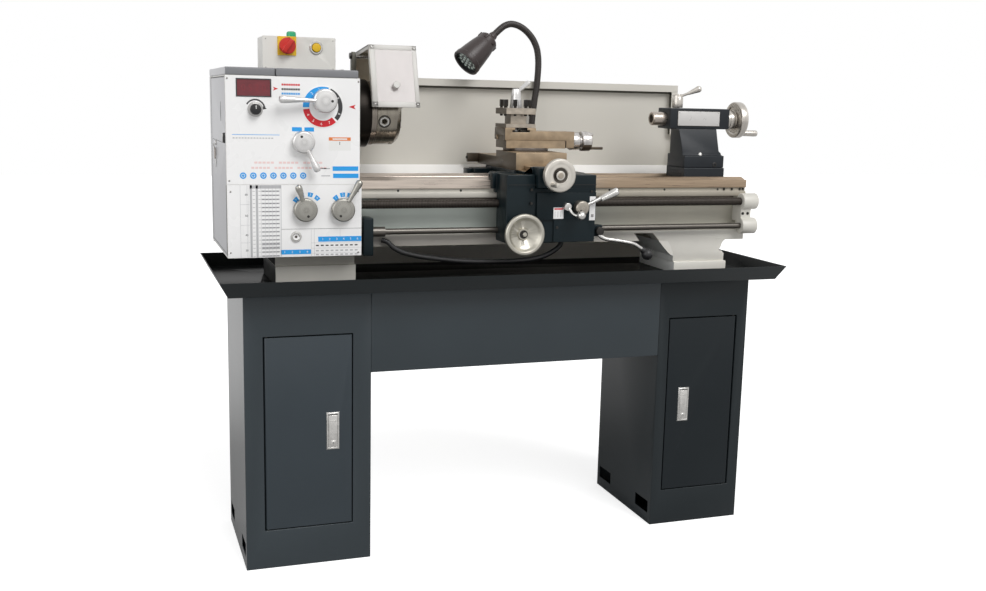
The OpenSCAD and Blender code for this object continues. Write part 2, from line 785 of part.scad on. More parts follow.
// Outline of a spur gear with 20 degree involute teeth and a little backlash
module gear_outline(teeth) {
  r = pitch_r(teeth);
  base = r * cos(20);
  tip = r + gear_module;
  root = r - 1.25 * gear_module;
  backlash = 0.35;
  half = 90 / teeth - backlash / r * 90 / PI + involute(r, base);
  steps = 3;
  start = max(base, root + 0.1);
  side = [for (i = [0 : steps]) let (q = start + (tip - start) * i / steps) [q, half - involute(q, base)]];
  polygon([
    for (t = [0 : teeth - 1], p = concat([[root, -half]], [for (s = side) [s[0], -s[1]]],
                      [for (i = [steps : -1 : 0]) side[i]], [[root, half]]))
      [p[0] * cos(p[1] + t * 360 / teeth), p[0] * sin(p[1] + t * 360 / teeth)]
  ]);
}

// Change gear in the guard
module change_gear(at, teeth, turn, x0 = gear_x0, x1 = gear_x1) {
  along_x(x0, x1) translate(at) rotate(turn) gear_outline(teeth);
}

// Sheet guard for the gears and the belt, open at the end where the cover hangs
module gear_guard() {
  color(paint_white) {
    difference() {
      block([guard_x0, -head_front, guard_z0], [head_x0, guard_back, head_z1]);
      block([guard_x0 - eps, -head_front + guard_t, guard_z0 + guard_t],
         [head_x0 - guard_t, guard_back - guard_t, head_z1 - guard_t]);
      rod_x(drive_r + 6, head_x0 - guard_t - eps, head_x0 + eps, 0, axis_z);
      rod_x(motor_shaft_r + 4, head_x0 - guard_t - eps, head_x0 + eps, motor_at.x, motor_at.y);
      rod_x(feed_shaft_r + 4, head_x0 - guard_t - eps, head_x0 + eps, feed_at.x, feed_at.y);
      for (z = [guard_z0 - eps, head_z1 - guard_t - eps])
        rod_z(hinge_pin_r + run_gap, z, z + guard_t + 2 * eps, cover_hinge_at.x, cover_hinge_at.y);
      rod_y(7 + run_gap, -head_front - eps, -head_front + guard_t + eps, speed_knob_at.x, speed_knob_at.y);
      translate([display_at.x - display_size.x / 2, -head_front - eps, display_at.y - display_size.y / 2])
        cube([display_size.x, guard_t + 2 * eps, display_size.y]);
    }
    translate([display_at.x - display_size.x / 2 - 4, -head_front + guard_t, display_at.y - display_size.y / 2 - 4])
      cube([display_size.x + 8, 16, display_size.y + 8]);
    rod_x(stud_r + 6, gear_x1 + 0.5, head_x0 - guard_t + eps, idler_at.x, idler_at.y);
    rod_x(stud_r, gear_x0 - 6, gear_x1 + 1, idler_at.x, idler_at.y);
  }
}

// Hinged cover at the end of the guard
module gear_cover() {
  z0 = guard_z0 + guard_t + 1;
  z1 = head_z1 - guard_t - 1;
  y0 = -head_front + guard_t + door_gap - 1;
  color(paint_white) difference() {
    union() {
      block([guard_x0, y0, z0], [guard_x0 + sheet_t, cover_hinge_at.y, z1]);
      block([guard_x0, y0, z0], [guard_x0 + cover_fold, y0 + sheet_t, z1]);
      for (z = [z0, z1 - sheet_t])
        block([guard_x0, y0, z], [guard_x0 + 2 * cover_hinge_r, cover_hinge_at.y, z + sheet_t]);
      rod_z(cover_hinge_r, z0, z1, cover_hinge_at.x, cover_hinge_at.y);
      block([guard_x0 - 4, y0 + 6, axis_z - 74], [guard_x0 + 6, y0 + 20, axis_z - 50]);
    }
    rod_z(hinge_pin_r + run_gap, z0 - eps, z1 + eps, cover_hinge_at.x, cover_hinge_at.y);
  }
}

idle_gap = 0.4;

// Band round two pulleys, as a filled outline
module belt_outline(r1, r2) {
  hull() {
    translate(spindle_at) circle(r = r1, $fn = 96);
    translate(motor_at) circle(r = r2, $fn = 96);
  }
}

// Flat-backed drive belt
module drive_belt() {
  groove = 6;
  r1 = spindle_pulley_r - groove + idle_gap;
  r2 = motor_pulley_r - groove + idle_gap;
  color(black_plastic) along_x(belt_x0 + idle_gap, belt_x0 + belt_w - idle_gap) difference() {
    belt_outline(r1 + belt_t, r2 + belt_t);
    belt_outline(r1, r2);
  }
}

// Outline of a flanged belt pulley, radius against X
module pulley_outline(r, bore_r) {
  groove = 6;
  polygon([
    [bore_r, belt_x0 - pulley_rim], [r, belt_x0 - pulley_rim], [r, belt_x0], [r - groove, belt_x0],
    [r - groove, belt_x0 + belt_w], [r, belt_x0 + belt_w], [r, belt_x0 + belt_w + pulley_rim],
    [bore_r, belt_x0 + belt_w + pulley_rim]
  ]);
}

// Pulley and change gear on the spindle
module spindle_drive() {
  color(steel) {
    turned_x(0, axis_z) pulley_outline(spindle_pulley_r, drive_r + run_gap);
    difference() {
      change_gear(spindle_at, spindle_teeth, 0);
      rod_x(drive_r + run_gap, gear_x0 - eps, gear_x1 + eps, 0, axis_z);
    }
  }
}

// Pulley with the motor's shaft
module motor_pulley() {
  color(steel) {
    turned_x(motor_at.x, motor_at.y) pulley_outline(motor_pulley_r, 0);
    rod_x(motor_shaft_r, belt_x0, head_x0 + 50, motor_at.x, motor_at.y);
  }
}

module idler_gear() {
  color(steel) difference() {
    change_gear(idler_at, idler_teeth, idler_turn);
    rod_x(stud_r + run_gap, gear_x0 - eps, gear_x1 + eps, idler_at.x, idler_at.y);
    for (a = [0 : 60 : 300])
      translate([0, idler_at.x, idler_at.y]) rotate([a, 0, 0]) rod_x(14, gear_x0 - eps, gear_x1 + eps, 0, 42);
  }
}

module feed_gear() {
  color(steel) {
    change_gear(feed_at, feed_teeth, feed_turn);
    rod_x(feed_shaft_r, gear_x0 - 6, head_x0 + 30, feed_at.x, feed_at.y);
  }
}

// Motor with its foot on the back of the bed
module motor() {
  x0 = head_x0 + 14;
  x1 = x0 + motor_l;
  cap = 22;
  foot_y = motor_at.x - motor_r - 7;
  color(paint_dark) difference() {
    union() {
      turned_x(motor_at.x, motor_at.y) polygon([
        [0, x0], [motor_r - 12, x0], [motor_r - 2, x0 + 8], [motor_r - 2, x0 + cap], [motor_r, x0 + cap],
        [motor_r, x1 - cap], [motor_r - 2, x1 - cap], [motor_r - 2, x1 - 6], [motor_r - 8, x1], [0, x1]
      ]);
      block([x0 + 30, foot_y - 1, motor_at.y - 46], [x1 - 30, foot_y + 7.4, motor_at.y + 46]);
      block([x0 + 40, foot_y, motor_at.y - 22], [x1 - 40, motor_at.x, motor_at.y + 22]);
    }
    rod_x(motor_shaft_r + run_gap, x0 - eps, head_x0 + 51, motor_at.x, motor_at.y);
  }
}

// ---------------------------------------------------------------- spindle and chuck

// Spindle with the flange that carries the chuck
module spindle() {
  flange_r = chuck_d / 2 + 1;
  bore = spindle_bore / 2;
  inner_x0 = head_x0 + 34;
  inner_x1 = head_x1 - 34;
  color("#2b2a2a") turned_x(0, axis_z) polygon([
    [bore, gear_x0 - 10], [drive_r, gear_x0 - 10], [drive_r, head_x0 + 4], [rear_journal_r, head_x0 + 4],
    [rear_journal_r, inner_x0], [rear_journal_r + 5, inner_x0], [rear_journal_r + 5, inner_x0 + 12],
    [rear_journal_r, inner_x0 + 12], [rear_journal_r, inner_x1 - 12], [front_journal_r + 5, inner_x1 - 12],
    [front_journal_r + 5, inner_x1 - 0.5], [front_journal_r, inner_x1 - 0.5], [front_journal_r, head_x1 + 6],
    [56, head_x1 + 6], [56, nose_x], [flange_r - 1.5, nose_x], [flange_r, nose_x + 1.5],
    [flange_r, chuck_x0 - 1.5], [flange_r - 1.5, chuck_x0], [bore, chuck_x0]
  ]);
}

jaw_r0 = 27;
jaw_slot_d = 22;
jaw_r1 = 64;
jaw_travel = 12;

// Direction of a jaw or of a key hole, turned about the spindle from the upward one
module at_jaw(i) {
  translate([0, 0, axis_z]) rotate([chuck_turn + 30 + i * 120, 0, 0]) children();
}

// Three-jaw chuck body
module chuck() {
  color(steel) difference() {
    turned_x(0, axis_z) polygon([
      [spindle_bore / 2 + 2, chuck_x0], [chuck_d / 2 - 1, chuck_x0], [chuck_d / 2 - 1, chuck_x0 + 16],
      [chuck_d / 2, chuck_x0 + 17], [chuck_d / 2, chuck_x1 - 12], [chuck_d / 2 - 9, chuck_x1],
      [spindle_bore / 2 + 2, chuck_x1]
    ]);
    for (i = [0 : 2]) {
      at_jaw(i) block([chuck_x1 - jaw_slot_d, -jaw_w / 2, 0], [chuck_x1 + eps, jaw_w / 2, chuck_d]);
      at_jaw(i) rotate([60, 0, 0]) {
        rod_z(9, chuck_d / 2 - 26, chuck_d, chuck_x0 + 34, 0);
        translate([chuck_x0 + 34 - 5, -5, chuck_d / 2 - 38]) cube([10, 10, 30]);
      }
    }
  }
}

// One jaw: a tongue in the slot and three steps in front of the body
module jaw(i) {
  color("#8f9090") at_jaw(i) {
    block([chuck_x1 - jaw_slot_d + slide_gap, -jaw_w / 2 + slide_gap, jaw_r0],
       [chuck_x1 + 4, jaw_w / 2 - slide_gap, jaw_r1]);
    block([chuck_x1 + 3, -jaw_w / 2 + slide_gap, jaw_r0], [chuck_x1 + 14, jaw_w / 2 - slide_gap, jaw_r0 + 12]);
    block([chuck_x1 + 3, -jaw_w / 2 + slide_gap, jaw_r0 + 10], [chuck_x1 + 9, jaw_w / 2 - slide_gap, jaw_r0 + 25]);
  }
}
module jaw_1() { jaw(0); }
module jaw_2() { jaw(1); }
module jaw_3() { jaw(2); }

shield_x0 = chuck_x0 - 24;
shield_z1 = axis_z + shield_top;
shield_z0 = shield_z1 - shield_h;
shield_t = 3;
frame_w = 11;

// Chuck guard: window frame, window, roof and end plate on a pivot shaft
module chuck_guard() {
  x1 = shield_x0 + shield_l;
  back_y = shield_y;
  color(paint_white) {
    difference() {
      union() {
        block([shield_x0, -shield_y, shield_z0], [x1, -shield_y + shield_t, shield_z1]);
        block([shield_x0, -shield_y, shield_z1 - shield_t], [x1, back_y, shield_z1]);
        block([shield_x0, back_y - shield_t, shield_pivot_z - 14], [x1, back_y, shield_z1]);
        along_x(x1 - shield_t, x1) polygon([
          [-shield_y, shield_z0], [-shield_y, shield_z1], [back_y, shield_z1],
          [back_y, shield_pivot_z - 14], [back_y - 40, shield_pivot_z - 40], [-shield_y + 60, shield_z0]
        ]);
        rod_x(shield_pin_r + 4, shield_x0, x1 - 20, shield_pivot_y, shield_pivot_z);
        block([shield_x0, shield_pivot_y - 4, shield_pivot_z], [x1 - 20, shield_pivot_y + 12, shield_pivot_z + 8]);
      }
      block([shield_x0 + frame_w, -shield_y - eps, shield_z0 + frame_w],
         [x1 - frame_w, -shield_y + shield_t + eps, shield_z1 - frame_w]);
    }
    rod_x(shield_pin_r, head_x1 + 2, shield_x0 + 10, shield_pivot_y, shield_pivot_z);
  }
  color([0.85, 0.87, 0.88, 0.4]) {
    block([shield_x0 + frame_w + 0.1, -shield_y + 0.5, shield_z0 + frame_w + 0.1],
          [x1 - frame_w - 0.1, -shield_y + shield_t - 0.5, shield_z1 - frame_w - 0.1]);
    rod_y(6, -shield_y - 12, -shield_y + 1, shield_x0 + shield_l / 2, shield_z0 + 52);
  }
}

// ---------------------------------------------------------------- electrics and front controls

ebox_x0 = head_x0 + 1;
ebox_y0 = head_back - ebox_d;
switch_at = [ebox_x0 + 61, lid_z1 + 62];
button_at = [ebox_x0 + 137, lid_z1 + 60];
button_r = 11;

// Electrical box on the headstock's lid, with its cover and pilot lamp
module electrical_box() {
  color(paint_cream) {
    difference() {
      union() {
        block([ebox_x0, ebox_y0 + 2, lid_z1], [ebox_x0 + ebox_w, ebox_y0 + ebox_d, lid_z1 + ebox_h]);
        block([ebox_x0 - 1, ebox_y0, lid_z1 + 1], [ebox_x0 + ebox_w + 1, ebox_y0 + 3, lid_z1 + ebox_h + 1]);
      }
      rod_y(6 + run_gap, ebox_y0 - eps, ebox_y0 + 20.5, switch_at.x, switch_at.y);
      rod_y(button_r + run_gap, ebox_y0 - eps, ebox_y0 + 12, button_at.x, button_at.y);
    }
    translate([switch_at.x - 24, ebox_y0 - 3, switch_at.y - 24]) difference() {
      cube([48, 3, 48]);
      translate([24, -eps, 24]) rotate([-90, 0, 0]) cylinder(r = 6 + run_gap, h = 5);
    }
    rod_z(9, lid_z1 + ebox_h, lid_z1 + ebox_h + 8, ebox_x0 + 78, ebox_y0 + 40);
  }
}

// Rotary main switch
module main_switch() {
  color("#c8201c") {
    rod_y(21, ebox_y0 - 16, ebox_y0 - 4, switch_at.x, switch_at.y);
    translate([switch_at.x, 0, switch_at.y]) rotate([0, 35, 0])
      block([-6, ebox_y0 - 28, -19], [6, ebox_y0 - 15, 19]);
    rod_y(6, ebox_y0 - 5, ebox_y0 + 20, switch_at.x, switch_at.y);
  }
}

// Push button
module start_button() {
  color("#e6c321") rod_y(button_r, ebox_y0 - 8, ebox_y0 + 6, button_at.x, button_at.y);
}

// Speed potentiometer knob
module speed_knob() {
  color(black_plastic) {
    rod_y(12, -head_front - 19, -head_front - 4, speed_knob_at.x, speed_knob_at.y, 13);
    rod_y(18, -head_front - 5, -head_front - 1, speed_knob_at.x, speed_knob_at.y);
    rod_y(7, -head_front - 2, -head_front + 12, speed_knob_at.x, speed_knob_at.y);
  }
}

// Turned lever: round knob on a shaft with a tapered arm out of its side
module knob_lever(at, r, depth, tip, from_r = 0, thin = 4, thick = 7) {
  y0 = -head_front - depth;
  v = [tip.x - at.x, tip.y - at.y] / norm([tip.x - at.x, tip.y - at.y]);
  color(steel) {
    turned_y(at.x, at.y) polygon([
      [0, y0], [r - 3, y0], [r, y0 + 3], [r, -head_front - 3], [r - 2, -head_front - 0.5],
      [0, -head_front - 0.5]
    ]);
    rod_y(lever_shaft_r, -head_front - 1, -head_front + lever_shaft_l, at.x, at.y);
    strut([at.x + v.x * (r - 4), y0 + depth / 2 - 2, at.y + v.y * (r - 4)],
       [tip.x, y0 - 4, tip.y], thin, thick);
  }
}
module speed_lever() {
  knob_lever(speed_lever_at, 29, 28, speed_lever_at + [-107, 2], thick = 7.5);
}
module direction_lever() {
  knob_lever(direction_lever_at, 27, 24, direction_lever_at + [30, -65]);
}
module left_feed_lever() {
  knob_lever(left_feed_at, 29, 22, left_feed_at + [-19, 56]);
}
module right_feed_lever() {
  knob_lever(right_feed_at, 29, 22, right_feed_at + [38, 68]);
}

// ---------------------------------------------------------------- carriage

carriage_x = 87;
saddle_x0 = carriage_x - saddle_l / 2;
saddle_x1 = carriage_x + saddle_l / 2;
saddle_z1 = way_z + saddle_h;
seat_z = way_z + 20;
apron_x0 = saddle_x0 + 3;
apron_x1 = apron_x0 + apron_l;
apron_z1 = way_z + apron_top;
apron_z0 = way_z - apron_drop;
skirt_t = 15;
saddle_y = bed_y + skirt_t;
cross_x = carriage_x - 2;
dovetail_w = 100;
cross_feed_at = [cross_x + 2, way_z + 15];
screw_block_y = apron_front + 17;
half_nut_at = [carriage_x + 79, way_z - 72];
feed_lever_at = [carriage_x + 40, way_z - 69];
apron_wheel_at = [carriage_x - 86, way_z - 138];
run_lever_at = [apron_x1 + 14, way_z - 136];
apron_pad = 5;
lamp_x = carriage_x + 94;
lamp_y = 190;

// Dovetail slide outline, wider at the top
module dovetail(w, grow) {
  slant = dovetail_h * tan(30);
  polygon([[-w / 2 + slant - grow, -0.01], [w / 2 - slant + grow, -0.01],
      [w / 2 + grow, dovetail_h + grow], [-w / 2 - grow, dovetail_h + grow]]);
}

// Saddle on the ways: a seat with a dovetail for the cross slide between two wings
module saddle() {
  bridge_y0 = -apron_front + 25;
  bridge_y1 = saddle_y + 20;
  keeper_z1 = rail_z - 1;
  keeper_z0 = keeper_z1 - 8;
  seat_w = cross_w + 4;
  block_w = dovetail_w - 17;
  color(paint_dark) {
    difference() {
      union() {
        block([saddle_x0, -saddle_y, keeper_z0], [saddle_x1, saddle_y, saddle_z1]);
        block([cross_x - 66, bridge_y0, way_z + apron_top + 1], [cross_x + 66, bridge_y1, seat_z]);
      }
      block([saddle_x0 - eps, -bed_y - slide_gap, keeper_z0 - eps], [saddle_x1 + eps, bed_y + slide_gap, flat_z + slide_gap]);
      ridge_cut(saddle_x0 - eps, saddle_x1 + eps);
      block([saddle_x0 - eps, -bed_y + rail_w, flat_z - eps], [saddle_x1 + eps, bed_y - rail_w, way_z + 6]);
      block([cross_x - seat_w / 2, -saddle_y - eps, seat_z], [cross_x + seat_w / 2, saddle_y + eps, saddle_z1 + eps]);
      cross_screw_bore();
    }
    difference() {
      union() {
        translate([cross_x, bridge_y1, seat_z - eps]) rotate([90, 0, 0])
          linear_extrude(bridge_y1 - bridge_y0) square([dovetail_w - 30, 2 * eps], center = true);
        translate([cross_x, bridge_y1, seat_z]) rotate([90, 0, 0])
          linear_extrude(bridge_y1 - bridge_y0) dovetail(dovetail_w, 0);
        block([cross_x - block_w / 2, -screw_block_y, way_z - 20], [cross_x + block_w / 2, -saddle_y + eps, seat_z + dovetail_h - 0.5]);
      }
      cross_screw_bore();
    }
    for (s = [-1, 1])
      block([saddle_x0, min(s * saddle_y, s * (bed_y - 5)), keeper_z0],
            [saddle_x1, max(s * saddle_y, s * (bed_y - 5)), keeper_z1]);
  }
}

// Passage of the cross-feed screw
module cross_screw_bore() {
  rod_y(cross_screw_r + run_gap, -screw_block_y - eps, -saddle_y + 40, cross_feed_at.x, cross_feed_at.y);
}

cross_screw_r = 7;
wheel_gap = 1.5;

// Apron with its passages for the rods and its lever seats
module apron() {
  back_y = -saddle_y - 0.2;
  color(paint_dark) difference() {
    union() {
      block([apron_x0, -apron_front, apron_z0], [apron_x1, back_y, apron_z1]);
      block([carriage_x + 8, -apron_front - apron_pad, apron_z0 + 2],
         [apron_x1 - 2, -apron_front + eps, way_z - 22]);
      rod_y(24, -apron_front - 12, -apron_front + eps, apron_wheel_at.x, apron_wheel_at.y);
      block([apron_x1 - eps, -apron_front + 4, run_lever_at.y - 15],
         [apron_x1 + 26, -apron_front + 34, run_lever_at.y + 15]);
    }
    block([cross_x - dovetail_w / 2 + 7, -apron_front - 10, way_z - 21],
          [cross_x + dovetail_w / 2 - 7, back_y + eps, apron_z1 + eps]);
    rod_x(screw_d / 2 + 0.6, apron_x0 - eps, apron_x1 + eps, -rod_y, screw_z);
    rod_x(rod_d / 2 + 0.6, apron_x0 - eps, apron_x1 + eps, -rod_y, rod_z);
    rod_y(9 + run_gap, -apron_front - 13, -apron_front + 30.5, apron_wheel_at.x, apron_wheel_at.y);
    rod_y(7 + run_gap, -apron_front - 6, -apron_front + 20.5, half_nut_at.x, half_nut_at.y);
    rod_y(6 + run_gap, -apron_front - 6, -apron_front + 20.5, feed_lever_at.x, feed_lever_at.y);
    rod_y(5 + run_gap, -apron_front + 3, -apron_front + 28.5, run_lever_at.x, run_lever_at.y);
  }
}

// Dished handwheel with the rim forward, radius against Y
module dish_outline(r, y_back, depth, hub_r, shaft_r, shaft_l) {
  polygon([
    [0, y_back + shaft_l], [shaft_r, y_back + shaft_l], [shaft_r, y_back], [hub_r, y_back],
    [hub_r, y_back - 8], [r - 12, y_back - depth + 14], [r - 3, y_back - depth + 14],
    [r, y_back - depth + 11], [r, y_back - depth + 3], [r - 3, y_back - depth], [r - 9, y_back - depth],
    [r - 12, y_back - depth + 3], [r - 16, y_back - depth + 8], [hub_r - 2, y_back - 14],
    [hub_r - 4, y_back - 18], [0, y_back - 18]
  ]);
}

module apron_handwheel() {
  color(steel)
    turned_y(apron_wheel_at.x, apron_wheel_at.y)
      dish_outline(apron_wheel_r, -apron_front - 12 - wheel_gap, 32, 18, 9, 12 + wheel_gap + 30);
}

// Cross-feed handwheel with its dial, screw and folding handle
module cross_handwheel() {
  y0 = -screw_block_y - wheel_gap;
  color(steel) {
    rod_y(cross_screw_r, y0 - 20, -saddle_y + 39, cross_feed_at.x, cross_feed_at.y);
    rod_y(16, y0 - 20, y0, cross_feed_at.x, cross_feed_at.y);
    turned_y(cross_feed_at.x, cross_feed_at.y) polygon([
      [0, y0 - 18], [20, y0 - 18], [cross_wheel_r - 10, y0 - 24], [cross_wheel_r - 2, y0 - 24],
      [cross_wheel_r, y0 - 26], [cross_wheel_r, y0 - 39], [cross_wheel_r - 3, y0 - 42],
      [cross_wheel_r - 16, y0 - 42], [cross_wheel_r - 20, y0 - 36], [12, y0 - 34], [12, y0 - 42], [0, y0 - 42]
    ]);
    rod_y(5, y0 - 80, y0 - 40, cross_feed_at.x - 22, cross_feed_at.y - 23, 7);
  }
}

// Half-nut lever
module half_nut_lever() {
  y1 = -apron_front - apron_pad - wheel_gap;
  at = half_nut_at;
  color(steel) {
    turned_y(at.x, at.y) polygon([[0, y1 - 24], [16, y1 - 24], [19, y1 - 21], [19, y1], [0, y1]]);
    rod_y(7, y1 - 1, -apron_front + 20, at.x, at.y);
    strut([at.x + 15, y1 - 13, at.y + 7], [at.x + 97, y1 - 22, at.y + 47], 4, 7.5);
  }
}

// Feed selector with a bent arm and a ball
module feed_lever() {
  y1 = -apron_front - apron_pad - wheel_gap;
  at = feed_lever_at;
  color(steel) {
    rod_y(10, y1 - 16, y1, at.x, at.y);
    rod_y(6, y1 - 1, -apron_front + 20, at.x, at.y);
    strut([at.x + 4, y1 - 12, at.y - 4], [at.x + 14, y1 - 26, at.y - 24], 3.5, 3.5);
    strut([at.x + 14, y1 - 26, at.y - 24], [at.x + 36, y1 - 38, at.y - 28], 3.5, 3.5);
    translate([at.x + 14, y1 - 26, at.y - 24]) sphere(r = 4);
    translate([at.x + 38, y1 - 41, at.y - 28]) sphere(r = 10);
  }
}

// Start and stop lever with a long arm and a black ball
module run_lever() {
  at = run_lever_at;
  y = -apron_front - 4;
  color(steel) {
    rod_y(11, y - 6, -apron_front + 3, at.x, at.y);
    rod_y(5, y - 1, -apron_front + 28, at.x, at.y);
    strut([at.x + 4, y, at.y - 1], [at.x + 150, y - 10, at.y - 58], 5.4, 4.6);
    translate([at.x + 158, y - 10, at.y - 61]) sphere(r = 15);
  }
}

cross_y0 = -bed_y - 22;
cross_z0 = seat_z + slide_gap;
cross_z1 = seat_z + cross_h;

// Cross slide with its dovetail groove
module cross_slide() {
  color(way_tan) difference() {
    block([cross_x - cross_w / 2, cross_y0, cross_z0], [cross_x + cross_w / 2, cross_y0 + cross_l, cross_z1]);
    translate([cross_x, cross_y0 + cross_l + eps, seat_z]) rotate([90, 0, 0])
      linear_extrude(cross_l + 2 * eps) dovetail(dovetail_w, slide_gap);
    rod_z(pivot_r + run_gap, cross_z1 - 8, cross_z1 + eps, swivel_at.x, swivel_at.y);
  }
}

swivel_at = [cross_x, -2];
pivot_r = 18;
swivel_z1 = cross_z1 + slide_gap + swivel_h;
top_x0 = swivel_at.x - 76;
top_x1 = top_x0 + top_l;
top_y0 = swivel_at.y - top_w / 2;
top_y1 = swivel_at.y + top_w / 2;
top_seat_z = swivel_z1 + 20;
top_z1 = swivel_z1 + top_h;
top_dovetail_w = 60;
top_screw_r = 6;
top_feed_z = swivel_z1 + 18;
top_end_w = 24;
step_w = 89;
step_h = 8.5;
slot_z = top_z1 - 3;

// Swivel base with the top slide's dovetail
module swivel_base() {
  color("#4a4642") {
    rod_z(pivot_r, cross_z1 - 7, cross_z1 + slide_gap + 1, swivel_at.x, swivel_at.y);
    rod_z(swivel_r, cross_z1 + slide_gap, swivel_z1, swivel_at.x, swivel_at.y);
  }
  color(way_tan) difference() {
    union() {
      block([top_x0 + 4, top_y0 + 1, swivel_z1 - eps], [top_x1 - top_end_w - 2, top_y1 - 1, top_seat_z]);
      translate([top_x0 + 4, swivel_at.y, top_seat_z]) rotate([90, 0, 90])
        linear_extrude(top_l - top_end_w - 6) dovetail(top_dovetail_w, 0);
    }
    rod_x(top_screw_r + 1, top_x1 - 70, top_x1, swivel_at.y, top_feed_z);
  }
}

// Top slide: stepped block with a T-slot for the tool post and an end plate for the screw
module top_slide() {
  color(way_tan) difference() {
    union() {
      block([top_x0, top_y0, top_seat_z + slide_gap], [top_x1, top_y1, top_z1]);
      block([top_x0, top_y0, top_z1 - eps], [top_x0 + step_w, top_y1, top_z1 + step_h]);
      block([top_x1 - top_end_w, top_y0, swivel_z1 + slide_gap], [top_x1, top_y1, top_z1 - eps]);
    }
    translate([top_x0 - eps, swivel_at.y, top_seat_z]) rotate([90, 0, 90])
      linear_extrude(top_l - top_end_w + eps) dovetail(top_dovetail_w, slide_gap);
    block([post_at.x - 25, top_y0 - eps, slot_z], [post_at.x + 25, top_y1 + eps, slot_z + 5]);
    block([post_at.x - 17, top_y0 - eps, slot_z + 4], [post_at.x + 17, top_y1 + eps, top_z1 + step_h + eps]);
    rod_x(top_screw_r + run_gap, top_x1 - top_end_w - eps, top_x1 + eps, swivel_at.y, top_feed_z);
  }
}

// Top slide's handwheel with dial and two handles
module top_handwheel() {
  x0 = top_x1 + wheel_gap;
  color(steel) {
    rod_x(top_screw_r, x0 - 40, x0 + 4, swivel_at.y, top_feed_z);
    turned_x(swivel_at.y, top_feed_z) polygon([
      [0, x0], [22, x0], [24, x0 + 2], [24, x0 + 26], [16, x0 + 28], [16, x0 + 34], [top_wheel_r - 2, x0 + 34],
      [top_wheel_r, x0 + 36], [top_wheel_r, x0 + 60], [top_wheel_r - 2, x0 + 62], [0, x0 + 62]
    ]);
    rod_x(4.5, x0 + 60, x0 + 72, swivel_at.y, top_feed_z + 19);
    rod_x(4, x0 + 60, x0 + 104, swivel_at.y, top_feed_z - 19);
  }
}

post_at = [top_x0 + 46, swivel_at.y + 4];
post_pin_r = 9;
post_base_h = 10;
post_z0 = top_z1 + step_h + slide_gap;
post_z1 = post_z0 + post_base_h + tool_slot_h + post_plate_h;

// Square four-way tool post with its clamping screws
module tool_post() {
  half = post_w / 2;
  core = post_core_w / 2;
  screw_at = half - 7;
  color("#7d756c") difference() {
    translate([post_at.x, post_at.y, 0]) {
      block([-half, -half, post_z0], [half, half, post_z0 + post_base_h]);
      block([-core, -core, post_z0 + eps], [core, core, post_z1 - eps]);
      block([-half, -half, post_z1 - post_plate_h], [half, half, post_z1]);
      for (a = [0 : 90 : 270], t = [-1, 1]) rotate([0, 0, a]) {
        rod_z(4, post_z1 - post_plate_h - 5, post_z1 + 6, screw_at, t * 15);
        translate([screw_at - 4.5, t * 15 - 4.5, post_z1 + 5]) cube([9, 9, 18]);
      }
    }
    rod_z(post_pin_r + run_gap, post_z0 - eps, post_z1 + eps, post_at.x, post_at.y);
  }
}

// Clamping lever of the tool post, with its stud and T-nut
module tool_post_lever() {
  top = post_z1 + slide_gap;
  color(steel) {
    rod_z(post_pin_r, slot_z + 1, top + 1, post_at.x, post_at.y);
    rod_z(15, slot_z + slide_gap, slot_z + 5 - slide_gap, post_at.x, post_at.y);
    rod_z(17, top, top + 38, post_at.x, post_at.y, 13);
    rod_z(13, top + 38, top + 52, post_at.x, post_at.y, 10);
    strut([post_at.x + 6, post_at.y + 4, top + 44], [post_at.x + 46, post_at.y + 34, top + 68], 4, 7);
  }
}

// Lamp: control points of the gooseneck, then a tube along a smooth curve through them
neck_points = [
  [lamp_x, lamp_y, way_z + 30], [lamp_x, lamp_y, way_z + 90], [lamp_x + 1, lamp_y, way_z + 185],
  [lamp_x + 7, lamp_y, way_z + 280], [lamp_x, lamp_y, way_z + 356], [lamp_x - 37, lamp_y, way_z + 406],
  [lamp_x - 82, lamp_y, way_z + 422], [lamp_x - 119, lamp_y - 6, way_z + 402], [lamp_x - 139, lamp_y - 16, way_z + 376]
];

// Point on a smooth curve through a list of points, with t from 0 to its length less one
function on_curve(pts, t) =
  let (n = len(pts) - 1, i = min(floor(t), n - 1), f = t - i,
    p0 = pts[max(i - 1, 0)], p1 = pts[i], p2 = pts[i + 1], p3 = pts[min(i + 2, n)])
  ((2 * p1) + (p2 - p0) * f + (2 * p0 - 5 * p1 + 4 * p2 - p3) * f * f
  + (3 * p1 - 3 * p2 + p3 - p0) * f * f * f) / 2;

// Tube of flat-sided rings along a smooth curve
module tube_along(pts, r, rings, sides) {
  last = len(pts) - 1;
  at = [for (i = [0 : rings - 1]) on_curve(pts, last * i / (rings - 1))];
  dirs = [for (i = [0 : rings - 1])
    let (v = at[min(i + 1, rings - 1)] - at[max(i - 1, 0)]) v / norm(v)];
  side_axis = [for (d = dirs) let (s = cross(d, [0.13, 0.97, 0.2])) s / norm(s)];
  points = [for (i = [0 : rings - 1], k = [0 : sides - 1])
    let (a = 360 * k / sides, u = side_axis[i], w = cross(dirs[i], u))
      at[i] + r * (cos(a) * u + sin(a) * w)];
  skin = [for (i = [0 : rings - 2], k = [0 : sides - 1])
    [i * sides + k, (i + 1) * sides + k, (i + 1) * sides + (k + 1) % sides, i * sides + (k + 1) % sides]];
  ends = [[for (k = [0 : sides - 1]) k], [for (k = [sides - 1 : -1 : 0]) (rings - 1) * sides + k]];
  polyhedron(points, concat(skin, ends));
}

lamp_head_l = 120;
lamp_head_r = 29;

